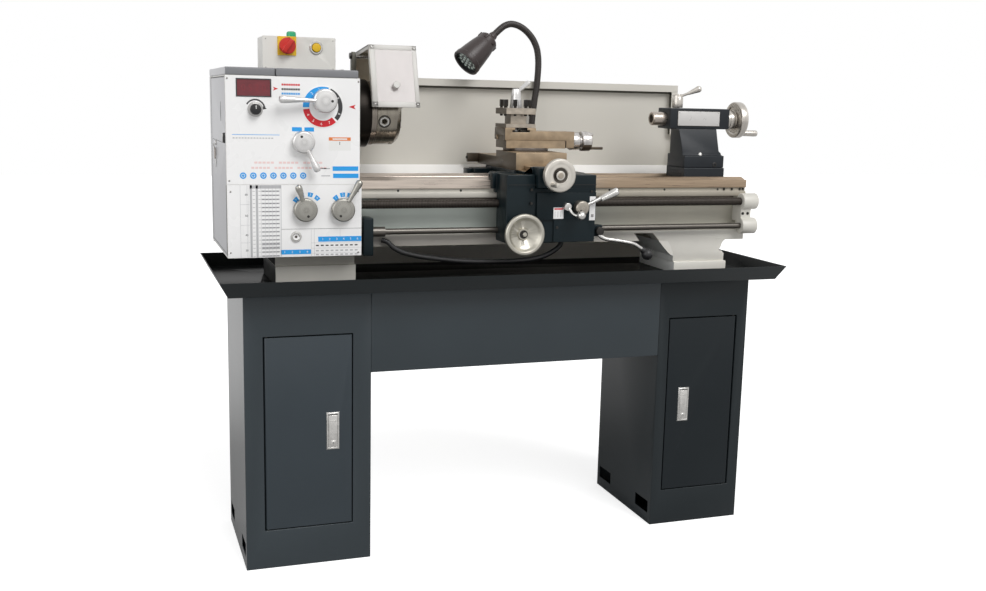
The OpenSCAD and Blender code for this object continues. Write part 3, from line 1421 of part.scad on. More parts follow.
// Work lamp: foot on the saddle, gooseneck and head
module lamp() {
  tip = neck_points[len(neck_points) - 1];
  turn_down = 129;
  turn_round = 219;
  color(black_plastic) {
    block([lamp_x - 16, saddle_y, way_z + 17], [lamp_x + 16, lamp_y + 16, way_z + 27]);
    rod_z(14, way_z + 26, way_z + 46, lamp_x, lamp_y, 11);
    tube_along(neck_points, 7, 41, 10);
    translate(tip) rotate([0, turn_down, turn_round]) rotate_extrude() polygon([
      [0, -12], [11, -12], [13, -8], [13, 4], [18, 8], [18, 20], [22, 34], [lamp_head_r, 74],
      [lamp_head_r, lamp_head_l - 20], [lamp_head_r - 3, lamp_head_l - 18], [lamp_head_r - 3, lamp_head_l - 24],
      [0, lamp_head_l - 26]
    ]);
  }
}

// ---------------------------------------------------------------- tailstock

tail_x0 = bed_x1 - 62 - tail_l;
barrel_x0 = tail_x0 + 23;
barrel_x1 = barrel_x0 + barrel_l;
barrel_z0 = axis_z - barrel_h / 2 + 2;
barrel_z1 = barrel_z0 + barrel_h;
sole_h = 25;
sole_z1 = way_z + sole_h;
base_z1 = way_z + 59;
quill_r = quill_d / 2;
quill_l = 182;
quill_x0 = barrel_x0 - quill_out;
tail_screw_r = 8;
lock_x = barrel_x0 + 41;

// Tailstock: sole, body with its barrel, and the clamp plate with its bolt
module tailstock() {
  half = tail_w / 2;
  neck_x0 = tail_x0 + 40;
  color(paint_dark) {
    difference() {
      block([tail_x0, -half - 3, flat_z + slide_gap], [tail_x0 + tail_l, half + 3, sole_z1 - 0.2]);
      ridge_cut(tail_x0 - eps, tail_x0 + tail_l + eps);
      block([tail_x0 - eps, -bed_y + rail_w, flat_z - eps], [tail_x0 + tail_l + eps, bed_y - rail_w, way_z + 6]);
      rod_z(bolt_r + 2 + bolt_gap, flat_z, sole_z1 + eps, tail_x0 + tail_l / 2, 0);
    }
    difference() {
      union() {
        block([tail_x0, -half, sole_z1], [tail_x0 + tail_l, half, base_z1]);
        intersection() {
          along_y(-half, half) polygon([
            [neck_x0, base_z1 - eps], [tail_x0 + tail_l - 2, base_z1 - eps],
            [tail_x0 + tail_l - 2, base_z1 + 6], [tail_x0 + tail_l - 9, base_z1 + 12],
            [barrel_x1 - 40, barrel_z0 + 8], [neck_x0 + 2, barrel_z0 + 8]
          ]);
          along_x(tail_x0, barrel_x1) polygon([
            [-half + 12, base_z1 - 2], [half - 12, base_z1 - 2], [half - 14, base_z1 + 12],
            [barrel_w / 2 - 2, barrel_z0], [barrel_w / 2 - 2, barrel_z0 + 9],
            [-barrel_w / 2 + 2, barrel_z0 + 9], [-barrel_w / 2 + 2, barrel_z0], [-half + 14, base_z1 + 12]
          ]);
        }
        block([barrel_x0, -barrel_w / 2, barrel_z0], [barrel_x1, barrel_w / 2, barrel_z1]);
      }
      rod_x(quill_r + run_gap, barrel_x0 - eps, barrel_x1 - 11, 0, axis_z);
      rod_x(tail_screw_r + run_gap, barrel_x1 - 12, barrel_x1 + eps, 0, axis_z);
      rod_z(6 + run_gap, axis_z + quill_r + 3, barrel_z1 + eps, lock_x, 0);
      rod_z(bolt_r + 2 + run_gap, sole_z1 - eps, base_z1 - 12, tail_x0 + tail_l / 2, 0);
    }
    block([tail_x0 + 60, -web_y + web_t + 6, rail_z - 32], [tail_x0 + tail_l - 60, web_y - web_t - 6, rail_z - 16]);
    rod_z(bolt_r + 2, rail_z - 46, base_z1 - 13, tail_x0 + tail_l / 2, 0);
    hex_z(24, rail_z - 46, rail_z - 32, tail_x0 + tail_l / 2, 0);
  }
}

// Quill with its taper bore
module quill() {
  color(steel) turned_x(0, axis_z) polygon([
    [12, quill_x0], [quill_r - 2, quill_x0], [quill_r, quill_x0 + 2], [quill_r, quill_x0 + quill_l],
    [tail_screw_r + 3, quill_x0 + quill_l], [tail_screw_r + 3, quill_x0 + quill_l - 60], [9.6, quill_x0 + 82]
  ]);
}

// Tailstock handwheel with dial, screw end and handle
module tailstock_handwheel() {
  x0 = barrel_x1 + 0.8;
  r = tail_wheel_r;
  color(steel) {
    turned_x(0, axis_z) polygon([
      [0, x0 - 34], [tail_screw_r, x0 - 34], [tail_screw_r, x0], [25, x0], [27, x0 + 2], [27, x0 + 20],
      [20, x0 + 22], [r - 14, x0 + 26], [r - 10, x0 + 22], [r - 2, x0 + 22], [r, x0 + 24], [r, x0 + 42],
      [r - 2, x0 + 44], [r - 10, x0 + 44], [r - 14, x0 + 38], [22, x0 + 36], [20, x0 + 44], [0, x0 + 44]
    ]);
    rod_x(6, x0 + 42, x0 + 112, -8, axis_z - 41, 8);
  }
}

// Quill clamp with its lever
module quill_lock() {
  top = barrel_z1 + slide_gap;
  color(steel) {
    rod_z(6, axis_z + quill_r + 3.5, top + 1, lock_x, 0);
    rod_z(19, top, top + 30, lock_x, 0, 18);
    rod_z(18, top + 30, top + 38, lock_x, 0, 11);
    strut([lock_x + 6, 0, top + 33], [lock_x + 76, -18, top + 62], 4, 7.5);
  }
}

// ---------------------------------------------------------------- splash guard

splash_x0 = head_x1 + lug_w + 6;
splash_x1 = splash_x0 + splash_l;
splash_z1 = way_z + splash_top;
drip_z = way_z + 14;
drip_y = saddle_y + 8;

// Folded splash guard with a lip along its top, a side gusset and a sloping drip strip
module splash_guard() {
  lip = 20;
  color("#c9c5bd") {
    block([splash_x0, splash_y, tray_z], [splash_x1, splash_y + splash_t, splash_z1]);
    block([splash_x0, splash_y - lip, splash_z1 - splash_t], [splash_x1, splash_y + splash_t, splash_z1]);
    block([splash_x0, splash_y - lip, splash_z1 - lip], [splash_x1, splash_y - lip + splash_t, splash_z1]);
    along_x(splash_x0, splash_x1 - 20) polygon([
      [splash_y + 0.1, drip_z], [drip_y, drip_z - 40], [drip_y, drip_z - 40 - splash_t], [splash_y + 0.1, drip_z - splash_t]
    ]);
    along_x(splash_x0, splash_x1 - 20)
      translate([drip_y, drip_z - 54]) square([splash_t, 14]);
    along_x(splash_x1 - splash_t, splash_x1) polygon([
      [splash_y + 0.1, splash_z1], [splash_y - lip, splash_z1], [splash_y - lip, splash_z1 - lip],
      [drip_y, drip_z - 40], [drip_y, drip_z - 54], [splash_y - 60, tray_z + 60], [splash_y - 12, tray_z], [splash_y + 0.1, tray_z]
    ]);
  }
}

// ---------------------------------------------------------------- fasteners and conduit

// Foot bolts, hinge pins and the bracket's screws
module fasteners() {
  color("#55585b") {
    for (b = foot_bolts) {
      rod_z(bolt_r, cabinet_h - sheet_t - 1, flange_z - 11, b.x, b.y);
      hex_z(18, cabinet_h - sheet_t - 9, cabinet_h - sheet_t, b.x, b.y);
    }
    for (x = [left_door_x0 + hinge_r, right_door_x0 + right_door_w - hinge_r]) {
      rod_z(hinge_pin_r, door_z - door_gap - sheet_t - 3, door_z + door_h + door_gap + sheet_t, x, front_y + hinge_r);
      rod_z(hinge_r - sheet_t - 0.2, door_z + door_h + door_gap + sheet_t, door_z + door_h + door_gap + sheet_t + 3,
         x, front_y + hinge_r);
    }
    rod_z(hinge_pin_r, guard_z0 - 2, head_z1, cover_hinge_at.x, cover_hinge_at.y);
    rod_z(hinge_pin_r + 2, guard_z0 - 4, guard_z0, cover_hinge_at.x, cover_hinge_at.y);
  }
}

// Route of the conduit from the bed's lower flange to the apron's lower edge
hang_z = tray_z + 39;
conduit_end = [carriage_x + 100, -apron_front + 36, apron_z0 - slide_gap];
conduit_points = [
  [left_bracket_x0 + 58, -bed_y - conduit_r + 0.6, flange_z + 18],
  [left_bracket_x0 + 71, -bed_y - 13, flange_z + 14],
  [left_bracket_x0 + 90, -bed_y - 16, flange_z + 2], [left_bracket_x0 + 140, -bed_y - 22, flange_z - 22],
  [left_bracket_x0 + 200, -bed_y - 30, hang_z + 17], [left_bracket_x0 + 300, -bed_y - 37, hang_z + 5],
  [carriage_x - 110, -bed_y - 44, hang_z], [carriage_x, -bed_y - 50, hang_z + 1],
  [conduit_end.x - 36, conduit_end.y, hang_z + 11], [conduit_end.x - 9, conduit_end.y, hang_z + 34],
  conduit_end - [1, 0, 14], conduit_end
];

// Cable conduit with a gland at each end
module conduit() {
  color(black_plastic) {
    tube_along(conduit_points, conduit_r, 56, 8);
  }
}

left_cabinet();
right_cabinet();
front_panel();
chip_tray();
bed();
rack();
rod_brackets();
headstock();
headstock_lids();
gear_guard();
gearbox();
electrical_box();
splash_guard();
motor();
spindle_bearings();
fasteners();
drive_belt();
conduit();
left_door();
left_latch();
right_door();
right_latch();
gear_cover();
spindle();
chuck();
jaw_1();
jaw_2();
jaw_3();
spindle_drive();
motor_pulley();
idler_gear();
feed_gear();
chuck_guard();
lead_screw();
feed_rod();
saddle();
apron();
apron_handwheel();
half_nut_lever();
feed_lever();
run_lever();
cross_slide();
cross_handwheel();
swivel_base();
top_slide();
top_handwheel();
tool_post();
tool_post_lever();
lamp();
tailstock();
quill();
tailstock_handwheel();
quill_lock();
speed_lever();
direction_lever();
left_feed_lever();
right_feed_lever();
speed_knob();
main_switch();
start_button();
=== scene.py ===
"""Bench lathe on a two-cabinet stand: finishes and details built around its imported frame."""
import json
import logging
import math
from dataclasses import dataclass
from enum import Enum
from typing import Callable, Sequence

import bmesh
import bpy
from mathutils import Matrix, Vector


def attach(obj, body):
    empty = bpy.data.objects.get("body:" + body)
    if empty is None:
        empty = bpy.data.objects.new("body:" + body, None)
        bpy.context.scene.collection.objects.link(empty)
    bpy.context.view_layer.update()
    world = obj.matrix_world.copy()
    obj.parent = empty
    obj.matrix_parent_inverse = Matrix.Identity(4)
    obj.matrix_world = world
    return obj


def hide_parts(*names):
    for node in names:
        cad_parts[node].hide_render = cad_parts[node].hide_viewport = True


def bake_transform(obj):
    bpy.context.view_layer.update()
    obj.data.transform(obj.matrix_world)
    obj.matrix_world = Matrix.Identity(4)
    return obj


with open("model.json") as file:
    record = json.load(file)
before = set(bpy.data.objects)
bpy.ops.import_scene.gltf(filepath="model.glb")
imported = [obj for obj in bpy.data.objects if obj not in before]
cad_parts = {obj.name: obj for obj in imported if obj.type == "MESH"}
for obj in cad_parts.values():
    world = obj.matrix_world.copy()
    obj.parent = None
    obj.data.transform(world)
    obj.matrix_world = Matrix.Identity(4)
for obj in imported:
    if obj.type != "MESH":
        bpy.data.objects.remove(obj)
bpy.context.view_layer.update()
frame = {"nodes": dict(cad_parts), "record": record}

LOG = logging.getLogger("bench_lathe")
MM = 0.001
# Lengths below are in millimetres and angles in degrees; the floor's half side is in metres.
CARVE_REACH = 400.0
FLAT_ANGLE = 0.7
EDGE_ANGLE = 30.0
STRAIGHT = 0.9
EASE_ROOM = 2.2
PIECE_ANGLE = 35.0
COPY_ANGLE = 32.0
FLOOR_HALF = 14.0
FLOOR_GREY = 0.8
FLOOR_GLOW = 0.7
Point = Sequence[float]
Outline = Sequence[tuple[float, float]]
Colour = tuple[float, float, float]
BODY_OF = {node: body for body, nodes in frame["record"]["behaviour"]["bodies"].items() for node in nodes}


class Axis(Enum):
    """Line that a shape is turned about or drawn along, as the directions of its own u, v and w."""

    X = ((0, 1, 0), (0, 0, 1), (1, 0, 0))
    Y = ((1, 0, 0), (0, 0, 1), (0, 1, 0))
    Z = ((1, 0, 0), (0, 1, 0), (0, 0, 1))

    def at(self, centre: Point = (0, 0, 0)) -> Matrix:
        """Place of the axis's own frame, with w along the axis, at a centre."""
        u, v, w = (Vector(side) for side in self.value)
        return Matrix.Translation(Vector(centre)) @ Matrix((u, v, w)).transposed().to_4x4()


# ---- finishes


class Graph:
    """Node tree in the making."""

    def __init__(self, owner: bpy.types.Material | bpy.types.World) -> None:
        """Starts with an empty tree.

        Args:
            owner: the material or world that the tree belongs to.
        """
        owner.use_nodes = True
        self.tree = owner.node_tree
        self.tree.nodes.clear()

    def node(self, kind: str, inputs: dict[str | int, object] | None = None, **settings: object) -> bpy.types.Node:
        """Adds a node.

        Args:
            kind: its type, without the words that all types start with.
            inputs: a value or another node's socket for each input that differs from its default.
            settings: its other settings.

        Returns:
            The node.
        """
        node = self.tree.nodes.new("ShaderNode" + kind)
        for name, value in settings.items():
            setattr(node, name, value)
        for name, value in (inputs or {}).items():
            if isinstance(value, bpy.types.NodeSocket):
                self.tree.links.new(value, node.inputs[name])
            else:
                node.inputs[name].default_value = value
        return node


class NodeSheet(Graph):
    """Node tree of one finish, ending in a Principled shader."""

    def __init__(self, name: str) -> None:
        """Starts the material.

        Args:
            name: name of the material.
        """
        self.material = bpy.data.materials.new(name)
        super().__init__(self.material)
        output = self.node("OutputMaterial")
        self.shader = self.node("BsdfPrincipled")
        self.tree.links.new(self.shader.outputs["BSDF"], output.inputs["Surface"])
        self.place = self.node("TexCoord").outputs["Object"]

    def feed(self, name: str, source: bpy.types.NodeSocket) -> None:
        """Links a socket to one of the shader's inputs."""
        self.tree.links.new(source, self.shader.inputs[name])

    def noise(self, size: float | Point, detail: float = 3.0) -> bpy.types.NodeSocket:
        """Noise over the piece.

        Args:
            size: size of its patches, or their sizes along X, Y and Z, in metres.
            detail: how many finer layers it has.

        Returns:
            The noise's value socket.
        """
        sides = (size,) * 3 if isinstance(size, float) else size
        mapping = self.node("Mapping", {"Scale": tuple(1 / side for side in sides), "Vector": self.place})
        texture = self.node("TexNoise", {"Scale": 1, "Detail": detail, "Vector": mapping.outputs["Vector"]})
        return texture.outputs["Fac"]

    def rings(self, axis: Axis, centre: Point, size: float) -> bpy.types.NodeSocket:
        """Noise that changes only with the distance from a turning axis and along it, as a lathe tool leaves it.

        Args:
            axis: the axis that the piece was turned about.
            centre: a point on it, in metres.
            size: width of the rings, in metres.

        Returns:
            The noise's value socket.
        """
        offset = self.node("VectorMath", {0: self.place, 1: tuple(centre)}, operation="SUBTRACT").outputs["Vector"]
        across = tuple(1 - side for side in axis.value[2])
        flat = self.node("VectorMath", {0: offset, 1: across}, operation="MULTIPLY")
        reach = self.node("VectorMath", {0: flat.outputs["Vector"]}, operation="LENGTH")
        along = self.node("VectorMath", {0: offset, 1: axis.value[2]}, operation="DOT_PRODUCT")
        total = self.node("Math", {0: reach.outputs["Value"], 1: along.outputs["Value"]}, operation="ADD")
        texture = self.node("TexNoise", {"W": total.outputs[0], "Scale": 1 / size, "Detail": 2},
                            noise_dimensions="1D")
        return texture.outputs["Fac"]

    def bands(self, axis: Axis, pitch: float) -> bpy.types.NodeSocket:
        """Even grooves along an axis.

        Args:
            axis: the axis that the grooves follow each other along.
            pitch: distance from groove to groove, in metres.

        Returns:
            The bands' value socket.
        """
        sockets = {"Vector": self.place, "Scale": math.pi / (10 * pitch), "Distortion": 0}
        return self.node("TexWave", sockets, wave_type="BANDS", bands_direction=axis.name).outputs["Fac"]

    def spread(self, source: bpy.types.NodeSocket, low: float, high: float) -> bpy.types.NodeSocket:
        """Maps the middle half of a noise's range to another range.

        Args:
            source: the noise.
            low: value at the lower end.
            high: value at the upper end.

        Returns:
            The mapped socket.
        """
        ends = {"From Min": 0.25, "From Max": 0.75, "To Min": low, "To Max": high}
        return self.node("MapRange", {"Value": source, **ends}).outputs["Result"]

    def blend(self, factor: bpy.types.NodeSocket, *ends: Colour | bpy.types.NodeSocket) -> bpy.types.NodeSocket:
        """Colour between two colours, each a value or a socket."""
        first, second = (end if isinstance(end, bpy.types.NodeSocket) else (*end, 1) for end in ends)
        return self.node("Mix", {0: factor, 6: first, 7: second}, data_type="RGBA").outputs[2]

    def relief(self, height: bpy.types.NodeSocket, strength: float, depth: float) -> None:
        """Bumps the shader's normal by a height, in metres."""
        bump = self.node("Bump", {"Height": height, "Strength": strength, "Distance": depth})
        self.feed("Normal", bump.outputs["Normal"])


MADE: dict[str, bpy.types.Material] = {}


@dataclass(frozen=True)
class Finish:
    """Surface of one kind, made into a material when a piece first asks for it."""

    name: str
    colour: Colour
    roughness: float = 0.5
    metal: float = 0.0
    gloss: float = 0.5
    mottle: float = 0.05
    patch: float | Point = 0.12
    grain: float | Point = 0.0012
    relief: float = 0.1
    depth: float = 0.0001
    wander: float = 0.04

    def material(self) -> bpy.types.Material:
        """The finish's material, made once."""
        if self.name not in MADE:
            MADE[self.name] = self.make().material
        return MADE[self.name]

    def tint(self, share: float) -> Colour:
        """The finish's colour, lighter or darker by a share."""
        return tuple(min(1, c * (1 + share)) for c in self.colour)

    def base(self) -> NodeSheet:
        """Sheet with the sockets that are the same all over."""
        sheet = NodeSheet(self.name)
        for name, value in (("Base Color", (*self.colour, 1)), ("Roughness", self.roughness),
                            ("Metallic", self.metal), ("Specular IOR Level", self.gloss)):
            sheet.shader.inputs[name].default_value = value
        return sheet

    def cover(self, sheet: NodeSheet, patches: bpy.types.NodeSocket, grain: bpy.types.NodeSocket,
              wear: bpy.types.NodeSocket) -> NodeSheet:
        """Covers a sheet with colour, relief and roughness that each follow a noise."""
        sheet.feed("Base Color", sheet.blend(sheet.spread(patches, 0, 1), self.tint(-self.mottle),
                                             self.tint(self.mottle)))
        sheet.feed("Roughness", sheet.spread(wear, self.roughness - self.wander, self.roughness + self.wander))
        sheet.relief(grain, self.relief, self.depth)
        return sheet

    def make(self) -> NodeSheet:
        """Mottled colour, wandering roughness and a fine relief."""
        sheet = self.base()
        patches = sheet.noise(self.patch)
        return self.cover(sheet, patches, sheet.noise(self.grain, 2), patches)


@dataclass(frozen=True)
class Turned(Finish):
    """Metal with the rings that a turning tool leaves."""

    axis: Axis = Axis.X
    centre: Point = (0, 0, 0)
    ring: float = 0.0012

    def make(self) -> NodeSheet:
        """Rings in colour, roughness and relief."""
        sheet = self.base()
        centre = [c * MM for c in self.centre]
        rings = sheet.rings(self.axis, centre, self.ring)
        return self.cover(sheet, sheet.rings(self.axis, centre, self.ring * 9), rings, rings)


@dataclass(frozen=True)
class Fading(Finish):
    """Finish whose colour drifts along X from its own colour to a far one over a span."""

    far: Colour = (0.5, 0.5, 0.5)
    span: tuple[float, float] = (0, 100)

    def make(self) -> NodeSheet:
        """Mottled colour that goes over into the far one."""
        sheet = Finish.make(self)
        near = sheet.shader.inputs["Base Color"].links[0].from_socket
        apart = sheet.node("SeparateXYZ", {0: sheet.place})
        start, end = (x * MM for x in self.span)
        ramp = sheet.node("MapRange", {"Value": apart.outputs["X"], "From Min": start, "From Max": end})
        low, high = (tuple(c * share for c in self.far) for share in (1 - self.mottle, 1 + self.mottle))
        far = sheet.blend(sheet.spread(sheet.noise(self.patch), 0, 1), low, high)
        sheet.feed("Base Color", sheet.blend(ramp.outputs["Result"], near, far))
        return sheet


@dataclass(frozen=True)
class Grooved(Finish):
    """Finish with even grooves along an axis, such as a thread, a knurl or a grip."""

    axis: Axis = Axis.X
    pitch: float = 0.004

    def make(self) -> NodeSheet:
        """Darker grooves with their relief."""
        sheet = self.base()
        bands = sheet.bands(self.axis, self.pitch)
        sheet.feed("Base Color", sheet.blend(bands, self.tint(-0.55), self.tint(self.mottle)))
        sheet.relief(bands, self.relief, self.depth)
        return sheet


@dataclass(frozen=True)
class Clear(Finish):
    """Clear sheet or glass that lets part of what is behind it through."""

    solid: float = 0.4

    def make(self) -> NodeSheet:
        """Mottled haze over what shows through."""
        sheet = Finish.make(self)
        sheet.shader.inputs["Alpha"].default_value = self.solid
        return sheet


@dataclass(frozen=True)
class Lit(Finish):
    """Digits and lamps that give off a little light."""

    light: float = 1.0

    def make(self) -> NodeSheet:
        """Plain emission over the base colour."""
        sheet = Finish.make(self)
        sheet.shader.inputs["Emission Color"].default_value = (*self.colour, 1)
        sheet.shader.inputs["Emission Strength"].default_value = self.light
        return sheet


CAST = {"patch": 0.1, "grain": 0.005, "relief": 0.3, "depth": 0.0004}
IRON = {"mottle": 0.1, "patch": 0.05, "grain": 0.004, "relief": 0.25, "depth": 0.0003}
SHEET = {"mottle": 0.07, "patch": 0.3, "grain": 0.0016, "relief": 0.2}
DULL = {"gloss": 0.2, "mottle": 0.12, "patch": 0.05, "relief": 0.12}
SMOOTH = {"grain": 0.002, "relief": 0.12}

STAND_PAINT = Finish("stand_paint", (0.027, 0.036, 0.042), 0.34, gloss=0.4, **SHEET)
# Painted sheen: a glossier, slightly lighter copy of the stand paint for the side faces at the stand's left end.
STAND_SIDE_SHEEN = Finish("stand_side_painted_sheen", (0.036, 0.040, 0.043), 0.13, gloss=0.62, patch=0.3, grain=0.0016, relief=0.03,
                    depth=0.00004, wander=0.02)
DOOR_PAINT = Finish("door_paint", (0.026, 0.036, 0.044), 0.3, gloss=0.4, mottle=0.07, patch=0.25, grain=0.0016,
                    relief=0.2)
# Painted shade: darker, less glossy copies of the stand and door paint for the right cabinet and its door.
RIGHT_STAND_SHADE = Finish("right_stand_painted_shade", (0.0135, 0.018, 0.0205), 0.36, gloss=0.25, **SHEET)
RIGHT_DOOR_SHADE = Finish("right_door_painted_shade", (0.0088, 0.0125, 0.015), 0.34, gloss=0.22, mottle=0.07, patch=0.25,
                        grain=0.0016, relief=0.2)
# Painted shade on the left side of the left foot.
FOOT_SHADE = Finish("left_foot_painted_shade", (0.02, 0.021, 0.02), 0.5, **DULL)
TRAY_PAINT = Finish("tray_paint", (0.011, 0.0145, 0.016), 0.36, gloss=0.24, mottle=0.1, patch=0.2, grain=0.0016,
                    relief=0.18)
# Painted shade: darker, duller copy of the tray paint for the inside of the tray.
TRAY_FLOOR_SHADE = Finish("tray_floor_painted_shade", (0.005, 0.006, 0.006), 0.2, gloss=0.028, mottle=0.15, patch=0.2,
                     grain=0.0016, relief=0.05, depth=0.00006)
IRON_PAINT = Finish("dark_iron_paint", (0.0072, 0.0135, 0.0165), 0.32, gloss=0.17, **IRON)
TAIL_PAINT = Finish("tailstock_paint", (0.0175, 0.0205, 0.0245), 0.34, gloss=0.22, **IRON)
BED_PAINT = Finish("bed_paint", (0.66, 0.64, 0.585), 0.38, **CAST)
FLANGE_PAINT = Fading("bed_flange_paint", (0.54, 0.515, 0.46), 0.38, mottle=0.06, **CAST, far=(0.40, 0.365, 0.30),
                      span=(-60, 300))
# Painted light: a paler copy of the bed paint for the right foot, which stands in the light while the left foot is in
# shade; it drifts from darker to paler along X.
RIGHT_FOOT_LIT_PAINT = Fading("right_foot_painted_light", (0.44, 0.415, 0.375), 0.38, **CAST, far=(0.84, 0.815, 0.75), span=(220, 430))
# Painted light: near white on the right foot's left side, standing in for the light that falls on that face.
RIGHT_FOOT_SIDE_LIGHT = Finish("right_foot_side_painted_light", (0.95, 0.98, 0.94), 0.38, **CAST)
# Painted shade: the web in the recess between the flanges takes a darker, greener copy of the bed paint, which drifts
# browner towards the right.
WEB_PAINTED_SHADE = Fading("bed_web_painted_shade", (0.42, 0.46, 0.425), 0.42, mottle=0.06, **CAST, far=(0.42, 0.40, 0.335),
                   span=(-60, 400))
GUARD_PAINT = Finish("guard_paint", (0.76, 0.75, 0.71), 0.36, mottle=0.03, **SMOOTH)
HOOD_PAINT = Finish("hood_paint", (0.53, 0.515, 0.485), 0.34, mottle=0.04, **SMOOTH)
# Painted light: a lighter, browner copy of the hood paint for the guard's shaded inside.
HOOD_LINING_LIGHT = Finish("hood_lining_painted_light", (0.88, 0.81, 0.69), 0.5, gloss=0.2, mottle=0.1, patch=0.05, relief=0.12)
# Painted shade: the off-white paint darkened for faces that turn left, away from the light; used on the gear cover
# and the lids' left ends.
SHADED_WHITE_PAINT = Finish("shaded_white_paint", (0.52, 0.52, 0.54), 0.34, mottle=0.03, **SMOOTH)
# Painted shade: dark paint for the headstock's lug, the guard's bracket and the strips under the splash guard's lip,
# which sit in shade.
DARK_PAINTED_SHADE = Finish("painted_shade_dark", (0.13, 0.125, 0.105), 0.5, **DULL)
BOX_PAINT = Finish("box_paint", (0.78, 0.765, 0.72), 0.38, mottle=0.03, grain=0.002, relief=0.15)
LID_PAINT = Finish("lid_paint", (0.20, 0.203, 0.214), 0.4, mottle=0.06, grain=0.0025, relief=0.2)
# Painted light: a paler copy of the splash paint for the upward faces of the splash guard's low slopes.
SPLASH_TOP_LIGHT = Finish("splash_top_painted_light", (0.95, 0.935, 0.91), 0.34, mottle=0.03)
SPLASH_PAINT = Finish("splash_paint", (0.68, 0.655, 0.595), 0.34, mottle=0.03, patch=0.3, grain=0.002)
PLATE = Finish("printed_plate", (0.88, 0.875, 0.87), 0.28, mottle=0.01, relief=0.03)
GROUND = Fading("ground_way", (0.60, 0.52, 0.45), 0.32, metal=0.55, mottle=0.14, patch=(0.09, 0.004, 0.004),
                grain=(0.03, 0.0007, 0.0007), relief=0.12, depth=0.00006, wander=0.08, far=(0.39, 0.29, 0.20),
                span=(-60, 300))
MILLED = Finish("milled_steel", (0.335, 0.25, 0.162), 0.4, metal=0.42, mottle=0.2, patch=(0.02, 0.05, 0.02),
                grain=(0.0006, 0.02, 0.0006), relief=0.16, depth=0.00006, wander=0.08)
# Dark steel: used for the travel stop, and as painted shade on faces turned from the light.
DARK_STEEL_AND_SHADE = Finish("dark_steel_and_painted_shade", (0.088, 0.068, 0.048), 0.34, metal=0.45, mottle=0.22, patch=(0.03, 0.03, 0.012),
               grain=(0.0006, 0.02, 0.0006), relief=0.14, depth=0.00006, wander=0.08)
POST_STEEL = Finish("post_steel", (0.40, 0.35, 0.29), 0.34, metal=0.6, mottle=0.2, patch=(0.015, 0.015, 0.008),
                    grain=(0.0006, 0.01, 0.0006), relief=0.12, depth=0.00006, wander=0.08)
STEEL = Finish("bright_steel", (0.55, 0.54, 0.52), 0.25, metal=0.9, mottle=0.1, patch=0.01, grain=0.0005, relief=0.08,
               depth=0.00004, wander=0.06)
BLACKED = Finish("blacked_steel", (0.025, 0.023, 0.021), 0.4, metal=0.5, mottle=0.2, patch=0.01, wander=0.08)
RING_STEEL = Finish("swivel_steel", (0.12, 0.105, 0.095), 0.38, metal=0.7, mottle=0.15, patch=(0.02, 0.02, 0.004),
                    relief=0.08, wander=0.06)
RACK_STEEL = Finish("rack_steel", (0.10, 0.085, 0.07), 0.4, metal=0.6, mottle=0.2, patch=(0.02, 0.01, 0.01))
# Dark steel of the lead screw, darkened further to stand for the shade under the bed's flange: partly painted shade.
SCREW_STEEL_AND_SHADE = Grooved("lead_screw_steel_and_shade", (0.042, 0.034, 0.028), 0.34, metal=0.6, mottle=0.4, relief=0.8, depth=0.001,
                      axis=Axis.X, pitch=0.004)
ROD_STEEL = Finish("feed_rod_steel", (0.115, 0.105, 0.092), 0.3, metal=0.6, mottle=0.08, patch=(0.2, 0.004, 0.004),
                   grain=(0.03, 0.0006, 0.0006), relief=0.06)
PLASTIC = Finish("black_plastic", (0.016, 0.016, 0.017), 0.42, gloss=0.4, mottle=0.1, relief=0.12)
HOSE = Finish("lamp_hose", (0.024, 0.019, 0.017), 0.4, gloss=0.4, mottle=0.15, patch=0.01, relief=0.12)
LAMP_PLASTIC = Finish("lamp_plastic", (0.036, 0.026, 0.0245), 0.36, gloss=0.4, mottle=0.08, relief=0.12)
RUBBER = Finish("belt_rubber", (0.02, 0.019, 0.018), 0.7, gloss=0.3, mottle=0.2, relief=0.25, depth=0.0003)
RED = Finish("switch_red", (0.56, 0.02, 0.012), 0.32, mottle=0.04, relief=0.04)
YELLOW = Finish("switch_yellow", (0.80, 0.50, 0.015), 0.36, mottle=0.04, relief=0.05)
SILVER_PLATE = Finish("silver_plate", (0.60, 0.585, 0.57), 0.3, metal=0.2, mottle=0.03, patch=0.02, relief=0.03)
INK_BLACK = Finish("ink_black", (0.03, 0.03, 0.032), 0.4, mottle=0.1)
INK_GREY = Finish("ink_grey", (0.30, 0.29, 0.29), 0.4, mottle=0.08)
INK_BLUE = Finish("ink_blue", (0.018, 0.33, 0.78), 0.35, mottle=0.04)
INK_RED = Finish("ink_red", (0.60, 0.008, 0.018), 0.35, mottle=0.04)
INK_ORANGE = Finish("ink_orange", (0.75, 0.21, 0.05), 0.35, mottle=0.04)
INK_ROSE = Finish("ink_rose", (0.83, 0.62, 0.60), 0.35, mottle=0.03)
INK_CHART = Finish("ink_chart", (0.47, 0.47, 0.48), 0.4)
INK_PALE = Finish("ink_pale", (0.82, 0.82, 0.80), 0.35, mottle=0.02)
DISPLAY = Finish("display_glass", (0.16, 0.022, 0.03), 0.12, mottle=0.15, patch=(0.03, 0.03, 0.01), relief=0.01)
DIGITS = Finish("display_digits", (0.205, 0.022, 0.031), 0.16, relief=0.01)
WINDOW = Clear("guard_window", (0.56, 0.515, 0.50), 0.2, patch=(0.05, 0.05, 0.09), relief=0.02, solid=0.9)
PILOT = Clear("pilot_lamp", (0.015, 0.40, 0.17), 0.15, relief=0.02, solid=0.92)
LENS = Clear("lamp_lens", (0.13, 0.155, 0.145), 0.2, mottle=0.25, patch=0.01, relief=0.02, solid=0.55)
EMITTER = Lit("lamp_emitter", (0.40, 0.46, 0.43), 0.3, light=0.1)
